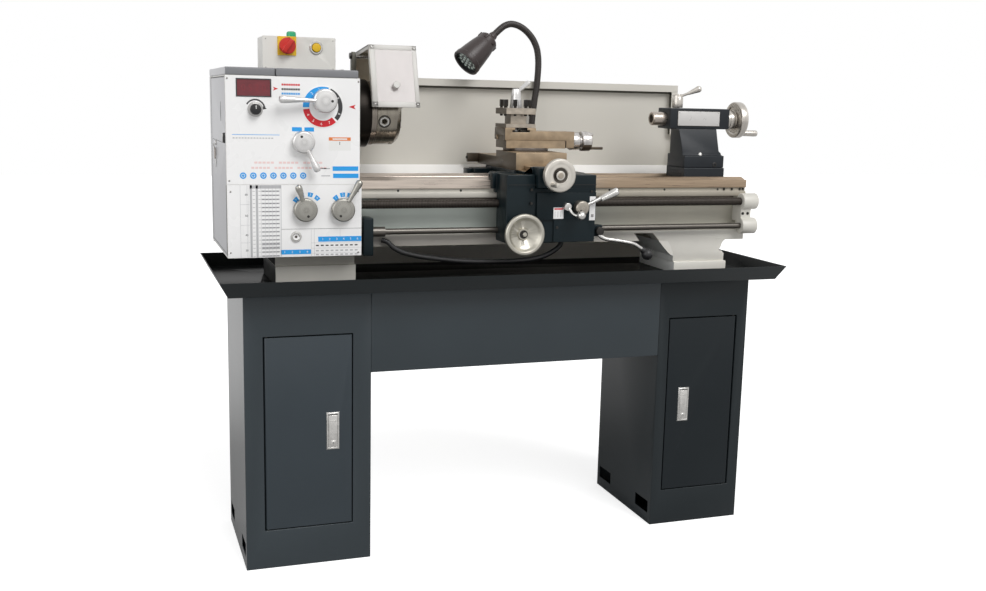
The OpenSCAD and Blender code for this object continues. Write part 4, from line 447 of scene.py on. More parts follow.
GAUGE = Finish("sight_glass", (0.04, 0.022, 0.015), 0.3, mottle=0.25, patch=0.004, relief=0.01)


def turned_steel(name: str, axis: Axis, centre: Point, colour: Colour = (0.55, 0.53, 0.50), roughness: float = 0.26,
                 ring: float = 0.001) -> Turned:
    """Turned steel about a centre.

    Args:
        name: name of the finish.
        axis: the axis it was turned about.
        centre: a point on the axis, in millimetres.
        colour: colour of the metal.
        roughness: middle roughness.
        ring: width of the tool's rings, in metres.

    Returns:
        The finish.
    """
    return Turned(name, colour, roughness, metal=0.88, mottle=0.12, relief=0.16, depth=0.00008, wander=0.07,
                  axis=axis, centre=centre, ring=ring)


# ---- shapes


def as_mesh(name: str, bm: bmesh.types.BMesh) -> bpy.types.Mesh:
    """Turns a mesh in the making into a mesh, and uses it up."""
    mesh = bpy.data.meshes.new(name)
    bm.to_mesh(mesh)
    bm.free()
    return mesh


def put(name: str, data: bpy.types.ID) -> bpy.types.Object:
    """Puts a mesh, a lamp or a camera into the scene."""
    obj = bpy.data.objects.new(name, data)
    bpy.context.scene.collection.objects.link(obj)
    return obj


def around(count: int, radius: float, centre: tuple[float, float] = (0, 0), first: float = 0) -> Outline:
    """Points spaced evenly on a circle.

    Args:
        count: how many points there are.
        radius: radius of the circle.
        centre: its centre.
        first: angle of the first point, in steps.

    Returns:
        The points.
    """
    turns = [math.tau * (k + first) / count for k in range(count)]
    return [(centre[0] + radius * math.cos(a), centre[1] + radius * math.sin(a)) for a in turns]


def smooth_line(points: Sequence[Point], each: int = 8) -> list[Vector]:
    """Smooth curve through points.

    Args:
        points: the points that it passes through.
        each: points for each stretch between two of them.

    Returns:
        Points along the curve.
    """
    pts = [Vector(p) for p in points]
    last = len(pts) - 1
    out: list[Vector] = []
    for i in range(last):
        p0, p1, p2, p3 = pts[max(i - 1, 0)], pts[i], pts[i + 1], pts[min(i + 2, last)]
        for k in range(each):
            f = k / each
            out.append(((2 * p1) + (p2 - p0) * f + (2 * p0 - 5 * p1 + 4 * p2 - p3) * f * f
                        + (3 * p1 - 3 * p2 + p3 - p0) * f ** 3) / 2)
    out.append(pts[last])
    return out


def line_length(line: Sequence[Vector]) -> float:
    """Length of a line through its points."""
    return sum((b - a).length for a, b in zip(line, line[1:]))


def even_line(line: Sequence[Vector], step: float) -> list[Vector]:
    """Line with points at even distances of about a step."""
    count = max(2, round(line_length(line) / step))
    stride = line_length(line) / count
    out = [line[0].copy()]
    run = 0
    for a, b in zip(line, line[1:]):
        span = (b - a).length
        while span > 0 and run + span >= stride * len(out) and len(out) < count:
            out.append(a.lerp(b, (stride * len(out) - run) / span))
        run += span
    out.append(line[-1].copy())
    return out


class Form:
    """Piece in the making: a mesh in millimetres, put together from worked shapes."""

    def __init__(self) -> None:
        """Starts empty."""
        self.bm = bmesh.new()

    def take(self, part: bmesh.types.BMesh, slot: int, matrix: Matrix | None = None) -> None:
        """Adds a worked shape.

        Args:
            part: the shape, which is used up.
            slot: the finish that its faces take.
            matrix: its place.
        """
        if matrix is not None:
            bmesh.ops.transform(part, matrix=matrix, verts=part.verts)
        bmesh.ops.recalc_face_normals(part, faces=part.faces)
        for face in part.faces:
            face.material_index = slot
        mesh = as_mesh("part", part)
        self.bm.from_mesh(mesh)
        bpy.data.meshes.remove(mesh)

    def merge(self, other: "Form", matrix: Matrix) -> None:
        """Adds another form in a place of its own, which uses it up."""
        bmesh.ops.transform(other.bm, matrix=matrix, verts=other.bm.verts)
        mesh = as_mesh("merged", other.bm)
        self.bm.from_mesh(mesh)
        bpy.data.meshes.remove(mesh)

    def sweep(self, line: Sequence[Vector], radii: Sequence[float], slot: int = 0, sides: int = 16) -> None:
        """Round tube along a line, with a radius at each of its points and closed ends."""
        part = bmesh.new()
        last = len(line) - 1
        turn = (line[1] - line[0]).to_track_quat("Z", "Y")
        for i, (point, radius) in enumerate(zip(line, radii)):
            ahead = (line[min(i + 1, last)] - line[max(i - 1, 0)]).normalized()
            turn = (turn @ Vector((0, 0, 1))).rotation_difference(ahead) @ turn
            here = Matrix.LocRotScale(Vector(point), turn, Vector((radius, radius, 1)))
            if i == 0:
                bmesh.ops.create_circle(part, cap_ends=False, segments=sides, radius=1, matrix=here)
                first = ring = list(part.edges)
            else:
                grown = bmesh.ops.extrude_edge_only(part, edges=ring)["geom"]
                verts = [g for g in grown if isinstance(g, bmesh.types.BMVert)]
                ring = [g for g in grown if isinstance(g, bmesh.types.BMEdge)]
                bmesh.ops.transform(part, matrix=here @ place.inverted(), verts=verts)
            place = here
        for end in (first, ring):
            bmesh.ops.edgeloop_fill(part, edges=end)
        self.take(part, slot)

    @staticmethod
    def round_edges(part: bmesh.types.BMesh, width: float, segments: int = 2, over: float = 35.0) -> None:
        """Rounds the edges of a shape that are sharper than an angle."""
        sharp = [e for e in part.edges if len(e.link_faces) == 2 and math.degrees(e.calc_face_angle(0)) > over]
        if sharp and width > 0:
            bmesh.ops.bevel(part, geom=sharp, offset=width, offset_type="OFFSET", segments=segments, profile=0.5,
                            affect="EDGES", clamp_overlap=True, material=-1)

    def plate(self, low: Point, high: Point, slot: int = 0, ease: float = 0.0, segments: int = 2) -> None:
        """Block between two corners, with eased edges."""
        part = bmesh.new()
        a, b = Vector(low), Vector(high)
        place = Matrix.Translation((a + b) / 2) @ Matrix.Diagonal((*(b - a), 1))
        bmesh.ops.create_cube(part, size=1, matrix=place)
        self.round_edges(part, ease, segments)
        self.take(part, slot)

    def prism(self, axis: Axis, outline: Outline, a0: float, a1: float, slot: int = 0, ease: float = 0.0) -> None:
        """Outline drawn along an axis from a0 to a1."""
        part = bmesh.new()
        face = part.faces.new([part.verts.new((u, v, a0)) for u, v in outline])
        grown = bmesh.ops.extrude_face_region(part, geom=[face])["geom"]
        tops = [g for g in grown if isinstance(g, bmesh.types.BMVert)]
        bmesh.ops.translate(part, vec=(0, 0, a1 - a0), verts=tops)
        bmesh.ops.recalc_face_normals(part, faces=part.faces)
        self.round_edges(part, ease)
        self.take(part, slot, axis.at())

    def turned(self, axis: Axis, centre: Point, outline: Outline, slot: int = 0, segments: int = 48) -> None:
        """Body of revolution; its outline is pairs of radius and place along the axis."""
        part = bmesh.new()
        verts = [part.verts.new((r, 0, a)) for r, a in outline]
        edges = [part.edges.new(pair) for pair in zip(verts, verts[1:])]
        if outline[0][0] > 0:
            edges.append(part.edges.new((verts[-1], verts[0])))
        bmesh.ops.spin(part, geom=verts + edges, cent=(0, 0, 0), axis=(0, 0, 1), angle=math.tau, steps=segments,
                       use_merge=True)
        bmesh.ops.remove_doubles(part, verts=part.verts, dist=1e-4)
        bmesh.ops.dissolve_degenerate(part, edges=part.edges, dist=1e-5)
        self.take(part, slot, axis.at(centre))

    def rod(self, p: Point, q: Point, r1: float, r2: float | None = None, slot: int = 0, segments: int = 32,
            ease: float = 0.0) -> None:
        """Round rod or cone between two points."""
        part = bmesh.new()
        a, b = Vector(p), Vector(q)
        bmesh.ops.create_cone(part, cap_ends=True, segments=segments, radius1=r1, radius2=r1 if r2 is None else r2,
                              depth=(b - a).length)
        self.round_edges(part, ease, 2, 40)
        turn = (b - a).to_track_quat("Z", "Y").to_matrix().to_4x4()
        self.take(part, slot, Matrix.Translation((a + b) / 2) @ turn)

    def ball(self, centre: Point, radius: float, slot: int = 0) -> None:
        """Ball."""
        part = bmesh.new()
        bmesh.ops.create_uvsphere(part, u_segments=28, v_segments=18, radius=radius)
        self.take(part, slot, Matrix.Translation(Vector(centre)))

    def line(self, points: Sequence[Point], radii: Sequence[float], slot: int = 0) -> None:
        """Round bar bent along points, with a radius at each."""
        curve = bpy.data.curves.new("line", "CURVE")
        curve.dimensions = "3D"
        curve.resolution_u = 8
        curve.bevel_depth = 1
        curve.bevel_resolution = 4
        curve.use_fill_caps = True
        spline = curve.splines.new("NURBS")
        spline.points.add(len(points) - 1)
        spline.order_u = 3
        spline.use_endpoint_u = True
        for knot, point, radius in zip(spline.points, points, radii):
            knot.co = (*point, 1)
            knot.radius = radius
        self.from_data(curve, slot)

    def numeral(self, text: str, size: float, at: Point, slot: int = 0, turn: float = 0.0,
                thick: float = 0.1) -> None:
        """Plain number standing in the XZ plane and facing the front, centred on a point."""
        curve = bpy.data.curves.new("numeral", "FONT")
        curve.body = text
        curve.size = size
        curve.extrude = thick
        curve.align_x = "CENTER"
        curve.align_y = "CENTER"
        place = Matrix.Translation(Vector(at)) @ Matrix.Rotation(turn, 4, "Y") @ Matrix.Rotation(math.pi / 2, 4, "X")
        self.from_data(curve, slot, place)

    def from_data(self, data: bpy.types.ID, slot: int, matrix: Matrix | None = None) -> None:
        """Adds a curve or a number as a mesh."""
        holder = bpy.data.objects.new("holder", data)
        mesh = bpy.data.meshes.new_from_object(holder)
        part = bmesh.new()
        part.from_mesh(mesh)
        bmesh.ops.remove_doubles(part, verts=part.verts, dist=1e-4)
        bpy.data.meshes.remove(mesh)
        bpy.data.objects.remove(holder)
        self.take(part, slot, matrix)

    def arc_band(self, centre: Point, r0: float, r1: float, start: float, end: float, thick: float,
                 slot: int) -> None:
        """Band of a ring that lies on a front face, between two angles in degrees, counted from +X towards +Z."""
        steps = max(3, int(abs(end - start) / 6))
        angles = [math.radians(start + (end - start) * i / steps) for i in range(steps + 1)]
        outer = [(centre[0] + r1 * math.cos(a), centre[2] + r1 * math.sin(a)) for a in angles]
        inner = [(centre[0] + r0 * math.cos(a), centre[2] + r0 * math.sin(a)) for a in reversed(angles)]
        self.prism(Axis.Y, outer + inner, centre[1] - thick, centre[1], slot)

    def patch(self, x0: float, z0: float, x1: float, z1: float, y: float, slot: int, thick: float = 0.2) -> None:
        """Rectangle printed or laid on a front face at y."""
        self.plate((x0, y - thick, z0), (x1, y, z1), slot)

    def screw(self, at: Point, radius: float, slot: int = 0, dark: int = 1) -> None:
        """Pan head screw with a cross recess on a front face."""
        x, y, z = at
        self.turned(Axis.Y, (x, 0, z), [(0, y), (radius, y), (radius, y - radius * 0.25),
                                        (radius * 0.7, y - radius * 0.5), (0, y - radius * 0.55)], slot, 24)
        for w, h in ((radius * 0.55, radius * 0.14), (radius * 0.14, radius * 0.55)):
            self.plate((x - w, y - radius * 0.57, z - h), (x + w, y - radius * 0.4, z + h), dark)

    def piece(self, name: str, body: str, *finishes: Finish, replaces: Sequence[str] = ()) -> bpy.types.Object:
        """Finishes the piece.

        Args:
            name: its name.
            body: the body that it moves with.
            finishes: its finishes, one for each slot.
            replaces: the frame's nodes that it stands for.

        Returns:
            The piece's object.
        """
        return place_piece(name, self.mesh(name), body, finishes, PIECE_ANGLE, replaces)

    def mesh(self, name: str) -> bpy.types.Mesh:
        """The piece's mesh, in metres."""
        bmesh.ops.scale(self.bm, vec=(MM, MM, MM), verts=self.bm.verts)
        return as_mesh(name, self.bm)


def place_piece(name: str, mesh: bpy.types.Mesh, body: str | None, finishes: Sequence[Finish], smooth: float,
                replaces: Sequence[str] = ()) -> bpy.types.Object:
    """Puts a mesh into the scene as a piece.

    Args:
        name: name of the piece.
        mesh: its mesh, in metres.
        body: the body that it moves with, or None where it blends between two.
        finishes: its finishes, one for each slot.
        smooth: edges sharper than this stay sharp, in degrees.
        replaces: the frame's nodes that it stands for.

    Returns:
        The piece's object.
    """
    for finish in finishes:
        mesh.materials.append(finish.material())
    mesh.shade_smooth()
    mesh.set_sharp_from_angle(angle=math.radians(smooth))
    obj = put(name, mesh)
    if body is not None:
        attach(obj, body)
    if replaces:
        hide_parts(*replaces)
    LOG.info("%s: %d faces", name, len(mesh.polygons))
    return obj


@dataclass(frozen=True)
class Carried:
    """Node of the frame with its finishes and eased edges, or a copy of it that is cut or shifted."""

    node: str
    finishes: Sequence[Finish]
    ease: float = 0.0
    segments: int = 2
    zone: Callable[[Vector, Vector], int] | None = None
    cuts: Sequence[tuple[Point, Point]] = ()
    carves: Sequence[Outline] = ()
    shift: Point = (0, 0, 0)

    def dress(self) -> bpy.types.Object:
        """Gives the node its finish, on a merged copy with eased edges where it has any.

        Returns:
            The object that shows.
        """
        source = frame["nodes"][self.node]
        if not (self.ease or self.zone or self.cuts or self.carves or any(self.shift)):
            source.data.materials.clear()
            source.data.materials.append(self.finishes[0].material())
            LOG.info("%s: frame node", self.node)
            return source
        bm = bmesh.new()
        bm.from_mesh(source.data)
        bmesh.ops.scale(bm, vec=(1 / MM,) * 3, verts=bm.verts)
        bmesh.ops.remove_doubles(bm, verts=bm.verts, dist=1e-3)
        bmesh.ops.translate(bm, vec=self.shift, verts=bm.verts)
        bm = self.cut(bm)
        bmesh.ops.dissolve_limit(bm, angle_limit=math.radians(FLAT_ANGLE), verts=bm.verts, edges=bm.edges)
        edges = [e for e in bm.edges if self.can_ease(e)]
        if edges and self.ease > 0:
            bmesh.ops.bevel(bm, geom=edges, offset=self.ease, offset_type="OFFSET", segments=self.segments,
                            profile=0.5, affect="EDGES", clamp_overlap=False, material=-1)
        bm.normal_update()
        for face in bm.faces:
            face.material_index = self.zone(face.calc_center_median(), face.normal) if self.zone else 0
        bmesh.ops.scale(bm, vec=(MM, MM, MM), verts=bm.verts)
        name = self.node + "_shape"
        return place_piece(name, as_mesh(name, bm), BODY_OF[self.node], self.finishes, COPY_ANGLE, (self.node,))

    def cut(self, bm: bmesh.types.BMesh) -> bmesh.types.BMesh:
        """Takes the cut boxes, and the carves drawn along the whole of Y, away from the copy.

        Args:
            bm: the copy, which is used up.

        Returns:
            What is left of it.
        """
        if not self.cuts and not self.carves:
            return bm
        body = put("cut", as_mesh("cut", bm))
        knives = []
        for tool in (*self.cuts, *self.carves):
            form = Form()
            if len(tool) == 2:
                form.plate(*tool)
            else:
                form.prism(Axis.Y, tool, -CARVE_REACH, CARVE_REACH)
            knife = put("knife", as_mesh("knife", form.bm))
            modifier = body.modifiers.new("cut", "BOOLEAN")
            modifier.operation = "DIFFERENCE"
            modifier.solver = "EXACT"
            modifier.object = knife
            knives.append(knife)
        left = bpy.data.meshes.new_from_object(body.evaluated_get(bpy.context.evaluated_depsgraph_get()))
        out = bmesh.new()
        out.from_mesh(left)
        for obj in (body, *knives):
            bpy.data.meshes.remove(obj.data)
        bpy.data.meshes.remove(left)
        return out

    def can_ease(self, edge: bmesh.types.BMEdge) -> bool:
        """Whether an edge is sharp and has room for the rounding at both ends."""
        if len(edge.link_faces) != 2 or math.degrees(edge.calc_face_angle(0)) < EDGE_ANGLE:
            return False
        along = edge.verts[1].co - edge.verts[0].co
        if along.length < 1e-4:
            return False
        for vert in edge.verts:
            for other in vert.link_edges:
                if other is edge or not set(other.link_faces) & set(edge.link_faces):
                    continue
                side = other.verts[1].co - other.verts[0].co
                if side.length < 1e-6:
                    return False
                straight = abs(along.dot(side)) / (along.length * side.length)
                if straight < STRAIGHT and side.length < EASE_ROOM * self.ease:
                    return False
        return True


# ---- studio


@dataclass(frozen=True)
class Studio:
    """Camera, lamps, sky and floor."""

    eye: Point = (-1.0219, -2.8944, 1.1921)
    yaw: float = 19.462
    pitch: float = -9.954
    roll: float = 1.336
    lens: float = 40.66
    fill: float = 0.32
    key: float = 1.95
    side: float = 0.75

    def build(self) -> None:
        """Builds the whole studio."""
        self.camera()
        self.sky()
        self.lamps()
        self.floor()

    def camera(self) -> None:
        """Camera at eye height, left of the machine's middle."""
        yaw, pitch, roll = (math.radians(a) for a in (self.yaw, self.pitch, self.roll))
        ahead = Vector((math.sin(yaw) * math.cos(pitch), math.cos(yaw) * math.cos(pitch), math.sin(pitch)))
        right = Vector((math.cos(yaw), -math.sin(yaw), 0))
        up = right.cross(ahead)
        side = math.cos(roll) * right + math.sin(roll) * up
        top = -math.sin(roll) * right + math.cos(roll) * up
        data = bpy.data.cameras.new("camera")
        data.lens = self.lens
        data.sensor_width = 36
        data.sensor_fit = "HORIZONTAL"
        data.clip_end = 60
        obj = put("camera", data)
        obj.matrix_world = Matrix.Translation(Vector(self.eye)) @ Matrix((side, top, -ahead)).transposed().to_4x4()
        bpy.context.scene.camera = obj

    def sky(self) -> None:
        """Even light for the surfaces, and white for the camera and for what shows in metal and glass."""
        world = bpy.data.worlds.new("sky")
        bpy.context.scene.world = world
        graph = Graph(world)
        rays = graph.node("LightPath").outputs
        total = rays["Is Camera Ray"]
        for name in ("Is Glossy Ray", "Is Transmission Ray"):
            total = graph.node("Math", {0: total, 1: rays[name]}, operation="MAXIMUM").outputs[0]
        level = graph.node("MapRange", {"Value": total, "To Min": self.fill, "To Max": 1})
        sky = graph.node("Background", {"Color": (1, 1, 1, 1), "Strength": level.outputs["Result"]})
        graph.node("OutputWorld", {"Surface": sky.outputs["Background"]})

    def lamps(self) -> None:
        """Soft key light from the front, right and above, and a weaker one from the left."""
        for name, energy, angle, aim in (("key", self.key, 35, (-0.36, 1, -1.02)),
                                         ("side", self.side, 50, (1, 0.45, -0.35))):
            data = bpy.data.lights.new(name, "SUN")
            data.energy = energy
            data.angle = math.radians(angle)
            put(name, data).matrix_world = Vector(aim).to_track_quat("-Z", "Y").to_matrix().to_4x4()

    def floor(self) -> None:
        """Pale floor that keeps the machine's shadow."""
        bm = bmesh.new()
        bmesh.ops.create_grid(bm, x_segments=1, y_segments=1, size=FLOOR_HALF)
        mesh = as_mesh("floor", bm)
        material = bpy.data.materials.new("floor")
        graph = Graph(material)
        matt = graph.node("BsdfDiffuse", {"Color": (FLOOR_GREY, FLOOR_GREY, FLOOR_GREY, 1)})
        seen = graph.node("LightPath").outputs["Is Camera Ray"]
        level = graph.node("Math", {0: seen, 1: FLOOR_GLOW}, operation="MULTIPLY")
        glow = graph.node("Emission", {"Strength": level.outputs[0]})
        both = graph.node("AddShader", {0: matt.outputs[0], 1: glow.outputs[0]})
        graph.node("OutputMaterial", {"Surface": both.outputs[0]})
        mesh.materials.append(material)
        put("floor", mesh)


# ---- cable


@dataclass(frozen=True)
class CableConduit:
    """Ribbed conduit that hangs from the bed's lower flange to the apron."""

    radius: float = 7.0
    pitch: float = 5.0
    route: Sequence[Point] = ((-345, -109.4, 829.5), (-332, -116, 825.5), (-316, -121, 811), (-290, -127, 798),
                              (-240, -131, 786.5), (-147, -135, 774.5), (-60, -139, 770.5), (35, -144, 773),
                              (85, -148, 782), (114, -152, 796), (131, -156, 811), (136, -157, 825.2),)

    def build(self) -> bpy.types.Object:
        """Sweeps the ribbed tube along its route and hangs it between bed and carriage."""
        points = smooth_line(self.route)
        ribs = even_line(points, self.pitch / 4)
        form = Form()
        form.sweep(ribs, [self.radius - (0 if k % 4 in (0, 1) else 0.9) for k in range(len(ribs))], 0, 14)
        obj = place_piece("cable_conduit", form.mesh("cable_conduit"), None, (PLASTIC,), 50, ("conduit",))
        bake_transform(obj)
        return obj


# ---- stand


@dataclass(frozen=True)
class Stand:
    """Two sheet cabinets with doors, the panel between them and the chip tray."""

    front: float = -181.5
    latch_x: tuple[float, float] = (-487.5, 517)

    def build(self) -> None:
        """Dresses the sheet metal and the latches."""
        # The right cabinet and door take the darker copies: painted shade.
        for node, paint in (("left_cabinet", STAND_PAINT), ("right_cabinet", RIGHT_STAND_SHADE),
                            ("front_panel", STAND_PAINT)):
            Carried(node, (paint, STAND_SIDE_SHEEN), 1.6, 2, self.side_zone).dress()
        for node, paint in (("left_door", DOOR_PAINT), ("right_door", RIGHT_DOOR_SHADE)):
            Carried(node, (paint, STEEL), 1.2, 2, self.latch_zone).dress()
        Carried("chip_tray", (TRAY_PAINT, TRAY_FLOOR_SHADE), 1, 2, self.tray_zone).dress()
        for node in ("left_latch", "right_latch"):
            Carried(node, (STEEL,), 0.7, 2).dress()
        for side, x in zip(("left", "right"), self.latch_x):
            self.latch_detail(side, x)

    def side_zone(self, centre: Vector, normal: Vector) -> int:
        """Glossier coat in a slightly lighter colour on the stand's left end: a painted sheen on that side."""
        return 1 if centre.x < -700 and normal.x < -0.7 else 0

    def tray_zone(self, centre: Vector, normal: Vector) -> int:
        """Painted shade: a darker, duller copy of the tray paint on the tray's inner upward faces."""
        return 1 if normal.z > 0.3 and centre.z < 754 else 0

    def latch_zone(self, centre: Vector, normal: Vector) -> int:
        """Bright latch case inside the painted door."""
        near = min(abs(centre.x - x) for x in self.latch_x)
        return 1 if near < 16.5 and abs(centre.z - 352.5) < 48.5 and centre.y < self.front + 13 else 0

    def latch_detail(self, side: str, x: float) -> None:
        """Key cylinder and grip edge of one latch."""
        form = Form()
        y = self.front - 5
        form.turned(Axis.Y, (x, 0, 322), [(0, y + 2), (4.4, y + 2), (4.4, y - 0.2), (3.6, y - 0.6), (0, y - 0.6)], 0,
                    28)
        form.plate((x - 0.5, y - 0.7, 319.4), (x + 0.5, y + 0.4, 324.6), 1)
        form.plate((x - 9.5, self.front - 3.8, 378), (x + 9.5, self.front - 2.6, 380), 0, 0.4)
        form.piece(f"{side}_latch_lock", f"{side}_latch", STEEL, BLACKED)


# ---- bed


@dataclass(frozen=True)
class Bed:
    """Bed casting with its ways, rack, rods and their brackets."""

    ground_z: float = 960.6
    flange_z: float = 936.4
    half: float = 102.8

    def build(self) -> None:
        """Dresses the casting and its rods."""
        Carried("bed", (BED_PAINT, GROUND, WEB_PAINTED_SHADE, FOOT_SHADE, FLANGE_PAINT, RIGHT_FOOT_LIT_PAINT, RIGHT_FOOT_SIDE_LIGHT), 1.6, 2,
                self.zone, carves=(((381, 833.5), (436.5, 832.5), (459, 809), (399, 809)),)).dress()
        self.foot_flare()
        Carried("rack", (RACK_STEEL,)).dress()
        Carried("rod_brackets", (BED_PAINT, IRON_PAINT), 2.5, 3, lambda c, n: 1 if c.x < 0 else 0).dress()
        Carried("lead_screw", (SCREW_STEEL_AND_SHADE,)).dress()
        Carried("feed_rod", (ROD_STEEL,)).dress()
        Carried("fasteners", (BLACKED,)).dress()
        self.screws()

    def zone(self, centre: Vector, normal: Vector) -> int:
        """Ground ways on top; painted shade on the web in the recess; flange front faces in a darker paint that
        drifts darker to the right; painted light on the right foot and its left side; painted shade on the left side
        of the left foot.
        """
        if centre.z > self.ground_z:
            return 1
        if abs(centre.y) < 84 and 842 < centre.z < self.flange_z:
            return 2
        if centre.z < 814 and centre.x > 400:
            return 6 if normal.x < -0.6 else 5
        if normal.x < -0.6 and centre.x < -400 and centre.z < 842:
            return 3
        return 4 if normal.y < -0.1 and centre.z > 812 and centre.x < 725 else 0

    def foot_flare(self) -> None:
        """Flare of the right foot's left side, up to the flange."""
        form = Form()
        form.prism(Axis.Y, [(456.5, 811.9), (476, 790), (490.5, 775.2), (498, 770.2), (504.5, 767.4),
                            (504.5, 786), (488, 811.9)], -self.half, self.half)
        form.bm.normal_update()
        # Faces that look left take the painted light of the foot's side.
        for face in form.bm.faces:
            face.material_index = 1 if face.normal.x < -0.3 else 0
        form.piece("bed_foot_flare", "stand_and_bed", RIGHT_FOOT_LIT_PAINT, RIGHT_FOOT_SIDE_LIGHT)

    def screws(self) -> None:
        """Rack screws, bracket screws and the socket screws at the bed's end."""
        form = Form()
        flush = [(0, -96), (3.2, -96), (3.2, -97.04), (0, -97.04)]
        socket = [(0, -97), (3.4, -97), (3.4, -99.2), (2.9, -99.8), (1.7, -99.8), (1.5, -98.4), (0, -98.2)]
        wide = [(0, -131.1), (4.2, -131.1), (4.2, -132.2), (3.6, -132.8), (2.2, -132.8), (2, -131.4), (0, -131.3)]
        rows = (((-300, -130, 300, 470, 640), 955.5, flush), ((712, 722, 686, 660), 956, socket),
                ((706, 722), 889, wide))
        for places, z, outline in rows:
            for x in places:
                form.turned(Axis.Y, (x, 0, z), outline, 1, 24)
        form.piece("bed_screws", "stand_and_bed", STEEL, BLACKED)


# ---- headstock


@dataclass(frozen=True)
class Headstock:
    """Headstock casting with its lids, gearbox, printed plates and levers."""

    front: float = -165.0
    left: float = -740.0
    right: float = -415.0
    seam_z: float = 977.5
    plate_t: float = 1.2
    speed_at: tuple[float, float] = (-505, 1180.5)
    direction_at: tuple[float, float] = (-557, 1081)
    feeds_at: tuple[tuple[float, float], ...] = ((-553, 916.5), (-460, 915.5))
    pot_at: tuple[float, float] = (-670, 1157.5)
    window: tuple[float, float, float, float] = (-712, 1189, -634, 1227)

    def build(self) -> None:
        """Dresses the castings and lays the plates and controls on them."""
        # Faces past the headstock's right end, on its lug, take the dark painted shade.
        Carried("headstock", (GUARD_PAINT, DARK_PAINTED_SHADE), 3, 3, lambda c, n: 1 if c.x > self.right + 0.5 else 0,
                cuts=(((-430, 50, 1262), (-398, 110, 1330)),)).dress()
        # The lids' left end faces take the shaded white: off-white paint with painted shade.
        Carried("headstock_lids", (LID_PAINT, SHADED_WHITE_PAINT), 3, 3,
                lambda c, n: 1 if n.x < -0.7 and c.x < -738 else 0).dress()
        Carried("gearbox", (GUARD_PAINT,), 2.5, 3).dress()
        Carried("spindle_bearings", (STEEL,)).dress()
        self.upper_plate()
        self.lower_plate()
        self.dial()
        self.levers()
        self.pot()
        self.gauge()

    @property
    def face(self) -> float:
        """Y of the plates' outer face."""
        return self.front - self.plate_t

    def upper_plate(self) -> None:
        """Upper printed plate: a sheet with the display window, colour fields and corner screws."""
        y = self.face
        x0, z0, x1, z1 = self.window
        form = Form()
        left, right, low, top, rim = self.left + 1, self.right - 1.5, self.seam_z + 1, 1235.5, 2.6
        for a, b, c, d in ((left, low, x0, top), (x1, low, right, top), (x0, low, x1, z0), (x0, z1, x1, top)):
            form.plate((a, y, b), (c, self.front, d), 0)
        for a, b, c, d in ((x0 - rim, z0 - rim, x0, z1 + rim), (x1, z0 - rim, x1 + rim, z1 + rim),
                           (x0, z0 - rim, x1, z0), (x0, z1, x1, z1 + rim)):
            form.plate((a, y - 1, b), (c, y + 0.2, d), 1, 0.3)
        form.plate((x0, self.front - 0.9, z0), (x1, self.front - 0.2, z1), 2)
        for i, digit in enumerate("0520"):
            form.numeral(digit, 22, (x0 + 15 + 16 * i, self.front - 1, (z0 + z1) / 2 - 1), 3, 0, 0.08)
        self.fields(form, y)
        for x, z in ((-735, 1228.5), (-733.5, 987.5), (-420, 1228.5), (-418, 987)):
            form.screw((x, y, z), 2.6, 4, 5)
        form.piece("upper_plate", "stand_and_bed", PLATE, INK_BLACK, DISPLAY, DIGITS, STEEL, BLACKED, INK_BLUE,
                   INK_RED, INK_ORANGE, INK_PALE, INK_CHART, INK_ROSE)

    def fields(self, form: Form, y: float) -> None:
        """Coloured fields, arrows and lines of the upper plate."""
        form.prism(Axis.Y, [(-615, 1207), (-628, 1211.5), (-624.5, 1207), (-628, 1202)], y - 0.2, y, 7)
        form.prism(Axis.Y, [(-444, 1167.3), (-426.5, 1173.2), (-430.5, 1167.3), (-426.5, 1161.5)], y - 0.2, y, 7)
        for z, slot in ((1217, 7), (1206.3, 5), (1195.8, 6)):
            for i in range(8):
                form.patch(-607 + i * 5.6, z - 2.3, -602.6 + i * 5.6, z + 2.3, y, slot)
        form.patch(-725.5, 1096.6, -613, 1097.8, y, 6)
        for x0, x1 in ((-583, -559), (-553, -529.5)):
            form.patch(x0, 1106.4, x1, 1116.4, y, 6)
        form.patch(-493.4, 1085, -438.8, 1093.2, y, 8)
        form.patch(-484, 1087.4, -448, 1090.6, y - 0.2, 9, 0.1)
        form.patch(-493.4, 1061, -438.8, 1084.6, y, 9)
        form.patch(-467, 1074.5, -465.6, 1082.5, y - 0.2, 5, 0.1)
        for i in range(7):
            x = -700.6 + i * 24
            form.arc_band((x, y, 999.6), 0.01, 7.8, 0, 360, 0.2, 6)
            form.arc_band((x, y - 0.2, 999.6), 3.1, 4.4, 0, 359, 0.1, 9)
        form.patch(-484, 1011.2, -420, 1022.4, y, 6)
        form.patch(-482.8, 993.6, -419.2, 1004.6, y, 6)
        for z in (1017, 999):
            form.patch(-512, z - 1.2, -490, z + 1.2, y, 10)
        for z, x0, count, wide in ((1031, -674, 17, 7.6), (1018.5, -681, 20, 7)):
            for k in range(count):
                if k % 6 != 5:
                    form.patch(x0 + k * (wide + 2.2), z - 2.4, x0 + k * (wide + 2.2) + wide, z + 2.4, y, 11)
        for k in range(14):
            form.patch(-724 + k * 7, 1088, -719.2 + k * 7, 1090.6, y, 10)

